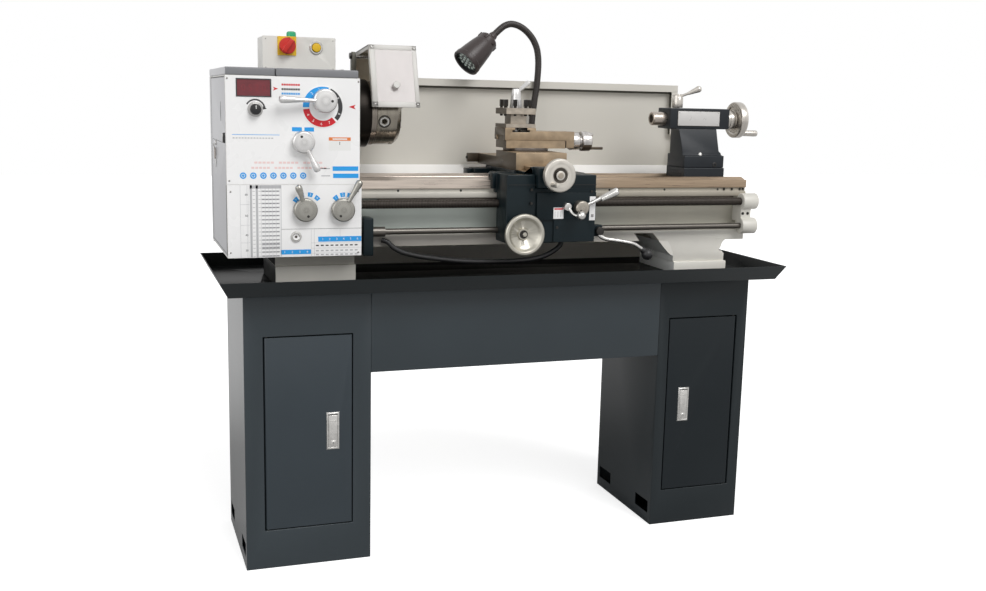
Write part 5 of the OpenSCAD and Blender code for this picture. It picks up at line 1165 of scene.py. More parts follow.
    def lower_plate(self) -> None:
        """Lower printed plate on the gear guard and the gearbox, with its tables and colour fields."""
        y = self.face
        form = Form()
        form.plate((self.left + 1, y, 800.2), (self.right + 3.5, self.front, self.seam_z), 0)
        grey, black, blue = 1, 2, 3
        for x0, x1 in ((-685.6, -680.4), (-671.4, -666.2)):
            form.patch(x0, 801, x1, self.seam_z - 1, y, grey)
        form.patch(-685.6, 968.5, -611, self.seam_z - 1, y, grey)
        for i in range(17):
            z = 962 - i * 9.9
            wide = 3.4 if i not in (13, 14) else 6.4
            form.patch(-658, z - wide / 2, -614.6, z + wide / 2, y, grey)
            for k in range(5):
                form.patch(-656 + k * 8.6, z - 0.5, -651.4 + k * 8.6, z + 0.5, y - 0.2, black, 0.08)
            for x0, x1 in ((-679, -673), (-665, -659.6)):
                form.patch(x0, z - 0.6, x1, z + 0.6, y, grey)
        for x in (-692.6, -689.4, -659, -649, -640.4, -631.8, -623.2, -613.4):
            form.patch(x - 0.25, 801, x + 0.25, self.seam_z - 1, y, grey)
        for z, number in ((953.7, "60"), (902.7, "50"), (855.5, "40"), (818, "30")):
            form.numeral(number, 7, (-694, y - 0.1, z), black, 0, 0.1)
        for z in (930, 880, 837):
            form.patch(-708.4, z - 0.3, -687, z + 0.3, y, grey)
        form.patch(-708.8, 801, -708.2, self.seam_z - 1, y, grey)
        form.patch(-611.2, 801, -610.2, self.seam_z - 1, y, grey)
        form.patch(-610.2, 868.4, self.right + 3, 869.2, y, black)
        form.patch(-612.1, 806.4, -538.3, 817.8, y, blue)
        form.patch(-520.4, 836.2, self.right + 3, 849, y, blue)
        for x in (-537.4, -529.8, -465.6):
            form.patch(x - 0.25, 801 if x < -470 else 849, x + 0.25, 868.4, y, grey)
        for z in (834, 820.5, 808):
            form.patch(-537.4, z - 0.25, self.right + 3, z + 0.25, y, grey)
        for row, z in enumerate((827, 814, 804)):
            for k in range(9):
                form.patch(-526 + k * 12.2, z - 1.6, -519 + k * 12.2, z + 1.6, y, grey if row else black)
        for count, x, z, step in ((4, -603, 811.8, 18.5), (6, -509, 842.4, 17.5)):
            for k in range(count):
                form.numeral(str(k + 1), 8, (x + k * step, y - 0.3, z), 4, 0, 0.05)
        for centre, places in ((self.feeds_at[0], (140, 112, 78, 48)), (self.feeds_at[1], (128, 98, 70))):
            for k, angle in enumerate(places):
                a = math.radians(angle)
                x, z = centre[0] + 6 + 36 * math.cos(a), centre[1] + 1 + 36 * math.sin(a)
                form.arc_band((centre[0] + 6, y, centre[1] + 1), 31, 41.5, angle - 9.5, angle + 9.5, 0.2, blue)
                form.numeral(str(k + 1), 8.5, (x, y - 0.3, z), 4, -a + math.pi / 2, 0.05)
        for x, z in ((-731.3, 961), (-733, 813.6), (-420, 961), (-420, 808)):
            form.screw((x, y, z), 2.4, 5, 2)
        form.piece("lower_plate", "stand_and_bed", PLATE, INK_CHART, INK_BLACK, INK_BLUE, INK_PALE, STEEL)

    def dial(self) -> None:
        """Speed dial's disc with its three coloured arcs and plain numbers."""
        y = self.face
        x, z = -508, 1166
        form = Form()
        form.turned(Axis.Y, (x, 0, z), [(0, y), (50.5, y), (50.5, y - 0.8), (50, y - 1.2), (0, y - 1.2)], 0, 72)
        c = (x, y - 1.2, z)
        form.arc_band(c, 33, 48.5, 72, 182, 0.15, 1)
        form.arc_band(c, 38, 48.5, -42, 66, 0.15, 2)
        form.arc_band(c, 33, 48.5, 188, 312, 0.15, 3)
        rows = ((1, (160, 130, 102), 9, 41, 1), (4, (208, 235, 265, 293), 9, 41, -1), (8, (-22, 30), 8, 43, 1))
        for first, angles, size, reach, side in rows:
            for number, angle in enumerate(angles, first):
                a = math.radians(angle)
                at = (x + reach * math.cos(a), y - 1.4, z + reach * math.sin(a))
                form.numeral(str(number), size, at, 0, side * math.pi / 2 - a, 0.08)
        form.piece("speed_dial", "stand_and_bed", PLATE, INK_BLUE, INK_BLACK, INK_RED)

    def levers(self) -> None:
        """Levers in turned steel, with their set screws, grip rings and end caps."""
        left, right = self.feeds_at
        levers = (("speed_lever", self.speed_at, 29, 28, (-107, 2), 9.6),
                  ("direction_lever", self.direction_at, 27, 24, (30, -65), 9),
                  ("left_feed_lever", left, 29, 22, (-19, 56), 8.8),
                  ("right_feed_lever", right, 29, 22, (38, 68), 8.8))
        for node, at, r, depth, tip, grip in levers:
            pale = node in ("speed_lever", "direction_lever")
            steel = turned_steel(node + "_steel", Axis.Y, (at[0], 0, at[1]),
                                 (0.66, 0.65, 0.64) if pale else (0.34, 0.33, 0.30), 0.3, 0.0009)
            Carried(node, (steel,), 0.9, 2).dress()
            y0 = self.front - depth
            v = Vector(tip).normalized()
            form = Form()
            px, pz = at[0] - v.x * (r * 0.55), at[1] - v.y * (r * 0.55)
            form.turned(Axis.Y, (px, 0, pz), [(0, y0 + 1), (3.2, y0 + 1), (3.2, y0 - 0.3), (2.6, y0 - 0.6),
                                              (0, y0 - 0.3)], 1, 20)
            arm = Form()
            reach = Vector(tip).length
            arm.turned(Axis.Z, (0, 0, 0), [(0, r - 4), (4.6, r - 4), (4.8, r + 4), (5.6, reach * 0.55),
                                           (grip * 0.86, reach * 0.8), (grip, reach * 0.93), (grip * 0.97, reach + 1),
                                           (grip * 0.75, reach + 4.6), (grip * 0.3, reach + 6.2), (0, reach + 6.4)],
                       0, 32)
            ahead = Vector((v.x, -4 / reach, v.y))
            base = Vector((at[0], y0, at[1]))
            form.merge(arm, Matrix.Translation(base) @ ahead.to_track_quat("Z", "Y").to_matrix().to_4x4())
            form.piece(node + "_trim", node, steel, BLACKED)

    def pot(self) -> None:
        """Speed knob with its ring and the curved arrow round it."""
        x, z = self.pot_at
        y = self.face
        Carried("speed_knob", (Finish("knob_metal", (0.45, 0.44, 0.43), 0.3, metal=0.7, mottle=0.08, relief=0.05),
                               PLASTIC), 0.6, 2, lambda c, n: 1 if c.y < self.front - 5.5 else 0).dress()
        form = Form()
        form.arc_band((x, y, z), 21, 24.5, 12, 150, 0.2, 0)
        form.prism(Axis.Y, [(x + 27, z + 2), (x + 19, z + 8.5), (x + 17.5, z - 1)], y - 0.2, y, 0)
        form.piece("speed_knob_arrow", "stand_and_bed", INK_BLACK)
        grip = Form()
        for px, pz in around(24, 12.4, (x, z)):
            grip.rod((px, self.front - 18.4, pz), (px, self.front - 6.5, pz), 0.75, None, 0, 8)
        grip.rod((x, self.front - 18.9, z), (x, self.front - 19.4, z), 8.4, None, 0, 32, 0.2)
        grip.plate((x - 0.8, self.front - 19.8, z + 1), (x + 0.8, self.front - 19, z + 9), 1)
        grip.piece("speed_knob_grip", "speed_knob", PLASTIC, INK_PALE)

    def gauge(self) -> None:
        """Oil sight glass in its bright ring."""
        x, z = -575, 849.5
        y = self.face
        form = Form()
        form.turned(Axis.Y, (x, 0, z), [(8.2, y + 6), (13.2, y + 0.1), (13.6, y - 1), (12.4, y - 3.4), (9.4, y - 4),
                                        (8.2, y - 2.6)], 0, 40)
        form.turned(Axis.Y, (x, 0, z), [(0, y + 3.4), (8.4, y + 3.4), (8.4, y + 0.6), (0, y - 0.4)], 1, 32)
        form.piece("sight_glass", "stand_and_bed", STEEL, GAUGE)


# ---- gear guard and drive


@dataclass(frozen=True)
class GearTrain:
    """Gear guard with its cover, the change gears, the belt and the motor."""

    left: float = -740.0

    def build(self) -> None:
        """Dresses the guard, the cover and the drive."""
        Carried("gear_guard", (GUARD_PAINT, BLACKED), 1.4, 2, self.inside).dress()
        # The gear cover takes the shaded white: off-white paint with painted shade.
        Carried("gear_cover", (SHADED_WHITE_PAINT, PLASTIC), 1.2, 2, self.latch_zone).dress()
        gear = Finish("gear_steel", (0.30, 0.29, 0.27), 0.32, metal=0.85, mottle=0.12, patch=0.01, relief=0.08)
        for node in ("spindle_drive", "idler_gear", "feed_gear", "motor_pulley"):
            Carried(node, (gear,)).dress()
        Carried("drive_belt", (RUBBER,)).dress()
        Carried("motor", (IRON_PAINT,), 1.4, 2).dress()
        self.cover_details()
        self.motor_details()

    def latch_zone(self, centre: Vector, normal: Vector) -> int:
        """Black latch block on the painted cover."""
        return 1 if centre.x < self.left - 0.3 and 1074 < centre.z < 1103 and centre.y < -136 else 0

    def inside(self, centre: Vector, normal: Vector) -> int:
        """Studs in blacked steel inside the painted guard."""
        return 1 if centre.x < -704 and -60 < centre.y < -10 and 1000 < centre.z < 1060 else 0

    def cover_details(self) -> None:
        """Latch, finger slot, seam and hanging keys of the gear cover."""
        form = Form()
        x = self.left
        form.plate((x - 5, -151, 1078), (x - 3.6, -140, 1099), 0, 0.5, 2)
        form.plate((x - 5.6, -150, 1090), (x - 4.6, -141, 1098), 2, 0.4, 2)
        form.prism(Axis.X, [(-66, 1150), (-61, 1126), (-56, 1150), (-61, 1174)], x - 0.5, x + 0.3, 1)
        form.plate((x - 0.4, -136, 1074.6), (x + 0.3, 150, 1075.8), 1)
        form.prism(Axis.X, [(-163, 806), (-151.5, 806), (-157, 976), (-163, 976)], x - 0.5, x + 0.3, 1)
        for y0, z0, y1, z1 in ((-150, 1231, 178, 1232.6), (-150, 808, 178, 809.6), (176.6, 808, 178.2, 1232.6)):
            form.plate((x - 0.4, y0, z0), (x + 0.3, y1, z1), 1)
        form.turned(Axis.X, (0, 70, 1068), [(0, x - 2.6), (5.6, x - 2.6), (6.4, x - 1.8), (6.4, x + 0.3),
                                            (0, x + 0.3)], 2, 28)
        turns = [k * 0.5236 for k in range(13)]
        ring = [Vector((x - 5.5 - 0.8 * math.cos(a), 70 + 8 * math.sin(a), 1058 + 9 * math.cos(a))) for a in turns]
        form.sweep(smooth_line(ring, 4), [0.9] * 49, 2, 8)
        form.prism(Axis.X, [(60, 1052), (66, 1056), (76, 1056), (83, 1051), (81, 1036), (74, 1026),
                            (66, 1028), (60, 1038)], x - 4.6, x - 2.4, 3, 0.5)
        form.prism(Axis.X, [(66, 1030), (72, 1030), (72, 1012), (70, 1005), (66.5, 1008)], x - 2.3, x - 0.9, 2, 0.2)
        tag = Finish("key_tag", (0.42, 0.36, 0.31), 0.4, mottle=0.08, relief=0.1)
        form.piece("gear_cover_latch", "gear_cover", PLASTIC, INK_BLACK, STEEL, tag)

    def motor_details(self) -> None:
        """Cooling ribs of the motor."""
        form = Form()
        y, z = 169, 880.5
        for py, pz in around(18, 57, (y, z), 0.5):
            if py > y - 41:
                form.rod((-578, py, pz), (-442, py, pz), 2.2, None, 0, 8)
        form.piece("motor_ribs", "stand_and_bed", IRON_PAINT)


# ---- electrics


@dataclass(frozen=True)
class ElectricalBox:
    """Electrical box with its main switch, push button and pilot lamp."""

    front: float = 61.0
    switch: tuple[float, float] = (-558, 1317.5)
    button: tuple[float, float] = (-482, 1315.5)

    def build(self) -> None:
        """Dresses the box and its controls."""
        Carried("electrical_box", (BOX_PAINT, YELLOW, PILOT), 1.4, 2, self.zone).dress()
        Carried("main_switch", (RED,), 1.6, 3).dress()
        Carried("start_button", (YELLOW,), 1.4, 3).dress()
        form = Form()
        x, z = self.button
        y = self.front
        form.turned(Axis.Y, (x, 0, z), [(11.6, y + 0.2), (17, y + 0.2), (17, y - 2.4), (15.8, y - 3.6),
                                        (12.6, y - 3.6), (11.6, y - 2.4)], 0, 40)
        for px in (-612, -438):
            for pz in (1262.5, 1334.5):
                form.screw((px, y, pz), 2.2, 2, 1)
        x, z = self.switch
        for px, pz in around(4, 19.95, (x, z), 1 / 3):
            form.screw((px, y - 3, pz), 1.4, 0, 1)
        form.turned(Axis.Z, (-540, 101, 0), [(0, 1341.4), (12.6, 1341.4), (12.6, 1350), (11.4, 1354.6), (7, 1356.8),
                                             (0, 1357.2)], 3, 36)
        form.piece("electrical_box_trim", "stand_and_bed", STEEL, BLACKED, BOX_PAINT, PILOT)

    def zone(self, centre: Vector, normal: Vector) -> int:
        """Yellow switch plate, green pilot lamp, painted box."""
        x, z = self.switch
        if centre.y < self.front - 0.05 and abs(centre.x - x) < 25 and abs(centre.z - z) < 25:
            return 1
        return 2 if centre.z > 1341.5 else 0


# ---- spindle and chuck


@dataclass(frozen=True)
class Chuck:
    """Spindle nose and three-jaw chuck, which sits a little closer to the headstock than in the frame."""

    axis_z: float = 1150.5
    shift: Point = (-14, 0, 0)
    back: float = -401.0
    key_x: float = -332.0
    face: float = -286.0
    key_angles: tuple[float, ...] = (104, 224, 344)

    def build(self) -> None:
        """Dresses the spindle and the chuck with its jaws, and adds the back plate and the key sockets."""
        centre = (0, 0, self.axis_z)
        dark = turned_steel("back_plate_steel", Axis.X, centre, (0.009, 0.0072, 0.0056), 0.36, 0.0014)
        ring = turned_steel("back_ring_steel", Axis.X, centre, (0.24, 0.21, 0.18), 0.26, 0.0012)
        body = turned_steel("chuck_steel", Axis.X, centre, (0.27, 0.245, 0.205), 0.24, 0.0012)
        jaws = Finish("jaw_steel", (0.52, 0.49, 0.46), 0.26, metal=0.85, mottle=0.1, patch=0.01, relief=0.06)
        Carried("spindle", (dark,)).dress()
        Carried("chuck", (body,), 0.8, 2, shift=self.shift).dress()
        for i in (1, 2, 3):
            Carried(f"jaw_{i}", (jaws,), 0.5, 1, shift=self.shift).dress()
        self.back_plate(dark, ring)
        self.key_sockets(body)

    def back_plate(self, dark: Finish, ring: Finish) -> None:
        """Blacked back plate and the bright ring between it and the chuck."""
        form = Form()
        centre = (0, 0, self.axis_z)
        x = self.back
        form.turned(Axis.X, centre, [(42, x), (85, x), (87, x + 2), (87, x + 33), (85.5, x + 35),
                                     (42, x + 35)], 0, 96)
        form.turned(Axis.X, centre, [(60, x + 35), (81.4, x + 35), (82.5, x + 36.1), (82.5, x + 48.9),
                                     (81.4, x + 50), (60, x + 50)], 1, 96)
        form.piece("back_plate", "spindle", dark, ring)

    def key_sockets(self, steel: Finish) -> None:
        """Rims and faceted rings of the key holes, and the screws in the chuck's face."""
        form = Form()
        for angle in self.key_angles:
            a = math.radians(angle)
            ahead = Vector((0, -math.sin(a), math.cos(a)))
            turn = ahead.to_track_quat("Z", "X").to_matrix().to_4x4()
            part = Form()
            part.turned(Axis.Z, (0, 0, 0), [(6.6, 50), (8.8, 50), (8.8, 79.8), (6.6, 79.2)], 0, 36)
            part.turned(Axis.Z, (0, 0, 0), [(8.6, 77.5), (13.4, 77.5), (13.4, 80.2), (12.6, 81), (9.4, 81),
                                            (8.6, 80.2)], 2, 6)
            part.turned(Axis.Z, (0, 0, 0), [(13.2, 76.5), (16.6, 76.5), (16.6, 80), (16, 80.4), (13.2, 80)], 1, 40)
            form.merge(part, Matrix.Translation((self.key_x, 0, self.axis_z)) @ turn)
            y, z = -60 * math.sin(a), self.axis_z + 60 * math.cos(a)
            x = self.face
            form.turned(Axis.X, (0, y, z), [(0, x - 2), (5, x - 2), (5, x + 1.4), (4.2, x + 2), (2.6, x + 2),
                                            (2.4, x - 0.4), (0, x - 0.4)], 1, 24)
        form.piece("chuck_details", "spindle", steel, BLACKED, STEEL)


@dataclass(frozen=True)
class ChuckGuard:
    """Folded guard over the chuck, with a window in its sloping front, on a bracket of the headstock."""

    left: float = -371.0
    right: float = -247.0
    profile: Outline = ((-112, 1168.5), (-62, 1324), (118, 1306), (118, 1212))
    sheet: float = 2.5
    pivot: tuple[float, float] = (85, 1299)

    def build(self) -> None:
        """Makes the guard and its bracket."""
        form = Form()
        self.front(form)
        self.folds(form)
        self.sides(form)
        form.rod((self.left - 1.2, *self.pivot), (self.right - 20, *self.pivot), 7, None, 3, 32, 0.8)
        form.piece("chuck_guard_folded", "chuck_guard", HOOD_PAINT, WINDOW, HOOD_LINING_LIGHT, STEEL,
                   replaces=("chuck_guard",))
        self.bracket()

    def front(self, form: Form) -> None:
        """Sloping front: a frame riveted round the window, with the knob that lifts the guard."""
        (y0, z0), (y1, z1) = self.profile[:2]
        run = math.hypot(y1 - y0, z1 - z0)
        a, b, t = self.left, self.right, self.sheet
        panel = Form()
        for low, high in (((a, 0), (a + 15, run)), ((b - 11.5, 0), (b, run)), ((a, 0), (b, 14)),
                          ((a, run - 12.5), (b, run))):
            panel.plate((low[0], 0, low[1]), (high[0], t, high[1]), 0, 0.4)
        panel.plate((a + 12, 0.6, 11), (b - 9, t - 0.4, run - 10), 1)
        for x in (a + 7.5, b - 6):
            for z in (8, run - 7):
                panel.turned(Axis.Y, (x, 0, z), [(0, 0), (2.4, 0), (2.2, -1.2), (1.2, -1.8), (0, -2)], 3, 20)
        panel.turned(Axis.Y, (self.left + 63, 0, 55), [(0, 0.2), (5, 0.2), (5, -5), (8.4, -6.4), (9, -7.4),
                                                       (9, -12.2), (8, -13.4), (0, -13.6)], 0, 40)
        form.merge(panel, Matrix.Translation((0, y0, z0)) @ Matrix.Rotation(-math.atan2(y1 - y0, z1 - z0), 4, "X"))

    def folds(self, form: Form) -> None:
        """Roof and back wall: paint outside, and inside a lighter, browner, duller copy of it, painted light on the
        shaded inside.
        """
        (y1, z1), (y2, z2), (_, z3) = self.profile[1:]
        t = self.sheet / 2
        for skin, slot in ((0, 0), (t, 2)):
            form.prism(Axis.X, [(y1 + skin, z1 - skin), (y2 - skin, z2 - skin), (y2 - skin, z3), (y2 - skin - t, z3),
                                (y2 - skin - t, z2 - skin - t), (y1 + skin, z1 - skin - t)], self.left, self.right,
                       slot)

    def sides(self, form: Form) -> None:
        """Narrow flange round the open left side, and the plate that closes the right side."""
        rim = [*self.profile, (107, 1212), (107, 1296), (-54.2, 1312.2), (-100.4, 1168.5)]
        form.prism(Axis.X, rim, self.left, self.left + 0.9, 0)
        # Inner layers take the painted light of the guard's inside.
        form.prism(Axis.X, rim, self.left + 0.9, self.left + 1.8, 2)
        closed = [(y * 0.985, z) for y, z in self.profile]
        form.prism(Axis.X, closed, self.right - 1.2, self.right - 0.2, 0)
        form.prism(Axis.X, closed, self.right - 2.4, self.right - 1.2, 2)

    def bracket(self) -> None:
        """Fixed bracket that stands on the headstock's lug and carries the pivot."""
        form = Form()
        y, z = self.pivot
        form.plate((-405.2, y - 15, 1238), (-384, y + 13, 1256), 0, 2)
        form.prism(Axis.X, [(y - 15, 1238), (y + 13, 1238), (y + 13, z), (y + 9, z + 8), (y, z + 11),
                            (y - 10, z + 8), (y - 15, z)], -384, -373.4, 0, 1)
        form.turned(Axis.X, (0, y, z), [(0, -389), (8, -389), (9, -388), (9, -384), (0, -384)], 1, 6)
        # The bracket takes the dark painted shade, matching the shade inside the guard.
        form.piece("chuck_guard_bracket", "stand_and_bed", DARK_PAINTED_SHADE, BLACKED)


# ---- splash guard


@dataclass(frozen=True)
class SplashGuard:
    """Folded splash guard behind the bed, with a return at its right end."""

    wall: float = 223.0
    front: float = 203.0
    left: float = -398.0
    end: float = 659.0
    top: float = 1248.5
    lip: float = 20.0
    floor: float = 718.7

    def build(self) -> None:
        """Dresses the sheet up to its end, and makes the end wall, its return and the dark strips under the lip,
        which are a painted shadow of the lip.
        """
        end, t = self.end, 1.5
        # Upward faces of the low slopes take the paler copy: painted light from above.
        Carried("splash_guard", (SPLASH_PAINT, SPLASH_TOP_LIGHT), zone=lambda c, n: 1 if n.z > 0.3 and c.z < 1010 else 0,
                cuts=(((end - t, 90, 700), (720, 260, 1300)),)).dress()
        form = Form()
        form.prism(Axis.X, [(self.wall + 0.1, self.floor), (self.wall + 0.1, self.top), (self.front, self.top),
                            (self.front, 1100), (127, 964.5), (127, 950.5), (163, 895), (211, self.floor)], end - t,
                   end)
        form.plate((end - self.lip, self.front, 1100), (end - t, self.front + t, self.top - self.lip + 0.5))
        bottom = self.top - self.lip
        # Dark strips on the wall under the lip and beside the return: painted shadow.
        form.plate((self.left, self.wall - 1.8, bottom - 6), (end - 8, self.wall, bottom), 1)
        form.plate((end - 17, self.wall - 1.8, 1100), (end - 8, self.wall, bottom), 1)
        form.piece("splash_guard_end", "stand_and_bed", SPLASH_PAINT, DARK_PAINTED_SHADE)


# ---- carriage


@dataclass(frozen=True)
class Carriage:
    """Saddle and apron with their handwheels and levers."""

    pad: float = -200.0
    wheel_at: tuple[float, float] = (1, 852.5)
    cross_at: tuple[float, float] = (87, 1005.5)
    nut_at: tuple[float, float] = (166, 918.5)
    feed_at: tuple[float, float] = (127, 921.5)
    run_at: tuple[float, float] = (228, 854.5)

    def build(self) -> None:
        """Dresses the castings and fits the controls."""
        Carried("saddle", (IRON_PAINT, MILLED), 1.6, 2, self.saddle_zone, cuts=(
            ((-41, -60, 950), (10.5, 60, 1021)), ((159.5, -60, 950), (215, 60, 1021)),
            ((-41, -120, 1004), (10.5, 120, 1021)), ((159.5, -120, 1004), (215, 120, 1021)))).dress()
        Carried("apron", (IRON_PAINT,), 2.6, 3).dress()
        self.wipers()
        self.panel()
        self.apron_wheel()
        self.cross_wheel()
        self.half_nut()
        self.feed_selector()
        self.run_lever()
        self.labels()

    def saddle_zone(self, centre: Vector, normal: Vector) -> int:
        """Ground dovetail and seat, painted wings."""
        return 1 if centre.z > 1009.5 and 12 < centre.x < 158 and centre.y > -119 else 0

    def wipers(self) -> None:
        """Way wipers at the left ends of the saddle's wings."""
        form = Form()
        form.plate((-50, -119, 962), (-40.2, -84, 1003), 0, 1.2)
        form.plate((-55, 84, 985.3), (-40.2, 119, 1002), 0, 1.2)
        for y, z in ((-110, 995), (-94, 995)):
            form.turned(Axis.X, (0, y, z), [(0, -50), (3.4, -50), (3.2, -51.6), (0, -52)], 1, 20)
        form.piece("saddle_wipers", "carriage", IRON_PAINT, BLACKED)

    def panel(self) -> None:
        """Raised field on the apron's front, and the seam under the saddle."""
        form = Form()
        y = self.pad
        form.plate((45, y - 1.6, 886), (213, y + 0.2, 957.5), 0, 0.8)
        form.plate((-33, y - 0.25, 977.2), (213.6, y + 0.2, 978.4), 1)
        form.piece("apron_panel", "carriage", IRON_PAINT, BLACKED)

    def apron_wheel(self) -> None:
        """Large dished handwheel with a polished rim."""
        x, z = self.wheel_at
        steel = Turned("apron_wheel_steel", (0.45, 0.43, 0.375), 0.34, metal=0.8, mottle=0.05, relief=0.05,
                       depth=0.00004, wander=0.05, axis=Axis.Y, centre=(x, 0, z), ring=0.0016)
        Carried("apron_handwheel", (steel,), 0.8, 2).dress()
        form = Form()
        y = -226
        form.turned(Axis.Y, (x, 0, z), [(0, y), (11, y), (11, y - 2), (9.8, y - 3.2), (0, y - 3.2)], 1, 36)
        form.turned(Axis.Y, (x + 1.4, 0, z), [(0, y - 3), (6.4, y - 3), (6, y - 7), (4.8, y - 8), (0, y - 8.2)], 0, 6)
        form.piece("apron_wheel_hub", "apron_handwheel", steel, BLACKED)

    def cross_wheel(self) -> None:
        """Cross-feed handwheel with its dial and folded handle."""
        x, z = self.cross_at
        steel = Turned("cross_wheel_steel", (0.56, 0.53, 0.48), 0.4, metal=0.7, mottle=0.07, relief=0.08,
                       depth=0.00005, wander=0.05, axis=Axis.Y, centre=(x, 0, z), ring=0.0009)
        dark = turned_steel("cross_hub_steel", Axis.Y, (x, 0, z), (0.085, 0.075, 0.065), 0.34, 0.0009)
        Carried("cross_handwheel", (steel, dark), 0.7, 2, self.cross_zone).dress()
        form = Form()
        y = -213.5
        for k, (px, pz) in enumerate(around(50, 20.05, (x, z))):
            form.rod((px, y - 2, pz), (px, y - (6 if k % 5 else 9), pz), 0.35, None, 0, 6)
        form.turned(Axis.Y, (x, 0, z), [(20, -248), (29, -248), (29, -255.6), (21.5, -255.6), (20, -254.2)], 1, 64)
        form.turned(Axis.Y, (x, 0, z), [(0, -255.4), (7.4, -255.4), (7.4, -257), (6.2, -258), (0, -258)], 2, 24)
        form.piece("cross_wheel_dial", "cross_handwheel", INK_BLACK, steel, POST_STEEL)

    def cross_zone(self, centre: Vector, normal: Vector) -> int:
        """Darker recess round the hub."""
        x, z = self.cross_at
        r = math.hypot(centre.x - x, centre.z - z)
        return 1 if r < 24 and -252 < centre.y < -236 else 0

    def half_nut(self) -> None:
        """Half-nut lever with its faceted hub and tapered handle."""
        x, z = self.nut_at
        steel = turned_steel("half_nut_steel", Axis.Y, (x, 0, z), (0.36, 0.33, 0.285), 0.3, 0.001)
        Carried("half_nut_lever", (steel, STEEL), 0.8, 2, lambda c, n: 1 if c.x > x + 20 else 0).dress()
        form = Form()
        form.rod((x + 52, -223, z + 22.5), (x + 92, -223.4, z + 40.5), 6.2, 10.2, 0, 28)
        form.ball((x + 92, -223.4, z + 40.5), 10.2, 0)
        form.turned(Axis.Y, (x - 6, 0, z - 8), [(0, -225.4), (3.2, -225.4), (3, -226.4), (0, -226.2)], 1, 20)
        form.piece("half_nut_trim", "half_nut_lever", STEEL, BLACKED)

    def feed_selector(self) -> None:
        """Feed selector with a bent arm and a fat knob."""
        x, z = self.feed_at
        form = Form()
        form.rod((x, -217.5, z), (x, -201.5, z), 10, None, 0, 36, 1)
        form.rod((x, -202.5, z), (x, -175, z), 6, None, 0, 24)
        form.line([(x + 3, -213, z - 3), (x + 9, -222, z - 15), (x + 13, -230, z - 21), (x + 20, -237, z - 22)],
                  [3.8, 3.6, 3.6, 4.2], 0)
        form.ball((x + 27, -242.5, z - 21), 12, 0)
        form.piece("feed_lever_arm", "feed_lever", STEEL, replaces=("feed_lever",))

    def run_lever(self) -> None:
        """Start and stop lever: a hub with a long bent arm and a black ball."""
        x, z = self.run_at
        form = Form()
        form.rod((x, -205, z), (x, -192, z), 11, None, 2, 40, 1.2)
        form.rod((x, -200, z), (x, -167, z), 5, None, 0, 24)
        form.line([(x - 3, -199, z - 10), (x + 10, -201, z - 21), (x + 52, -203.5, z - 26), (x + 98, -206, z - 34),
                   (x + 114, -207.5, z - 44), (x + 127, -208.6, z - 52.5)], [5.6, 5.6, 5.4, 5.2, 5.2, 5], 0)
        form.ball((x + 139, -209, z - 64.4), 15.5, 1)
        form.rod((x + 122, -208.4, z - 49), (x + 131, -208.8, z - 57), 7.5, 9, 1, 24, 0.8)
        form.piece("run_lever_arm", "run_lever", STEEL, PLASTIC, BLACKED, replaces=("run_lever",))

    def labels(self) -> None:
        """Small plates on the apron, with plain fields."""
        form = Form()
        y = self.pad - 1.6
        form.plate((92, y - 0.9, 889), (120.5, y, 918.5), 0, 0.3)
        form.patch(94, 913, 118.5, 917, y - 0.9, 1, 0.12)
        for k in range(3):
            form.patch(96 + k * 8, 893, 96.8 + k * 8, 909, y - 0.9, 2, 0.12)
        form.plate((194.5, y - 0.9, 884), (211.5, y, 947), 0, 0.3)
        for k in range(2):
            form.patch(199, 892 + k * 38, 207, 900 + k * 38, y - 0.9, 2, 0.12)
        for x, z, out in ((30, 930, 0.6), (30, 965, 0.6), (80, 985, -4.4), (200, 960, 0.6), (104, 866, 0.6)):
            outline = [(0, y + 5), (3.6, y + 5), (3.6, y - out), (0, y - out - 0.2)]
            form.turned(Axis.Y, (x, 0, z), outline, 3, 20)
        form.piece("apron_plates", "carriage", PLATE, INK_RED, INK_GREY, BLACKED)


# ---- slides and tool post


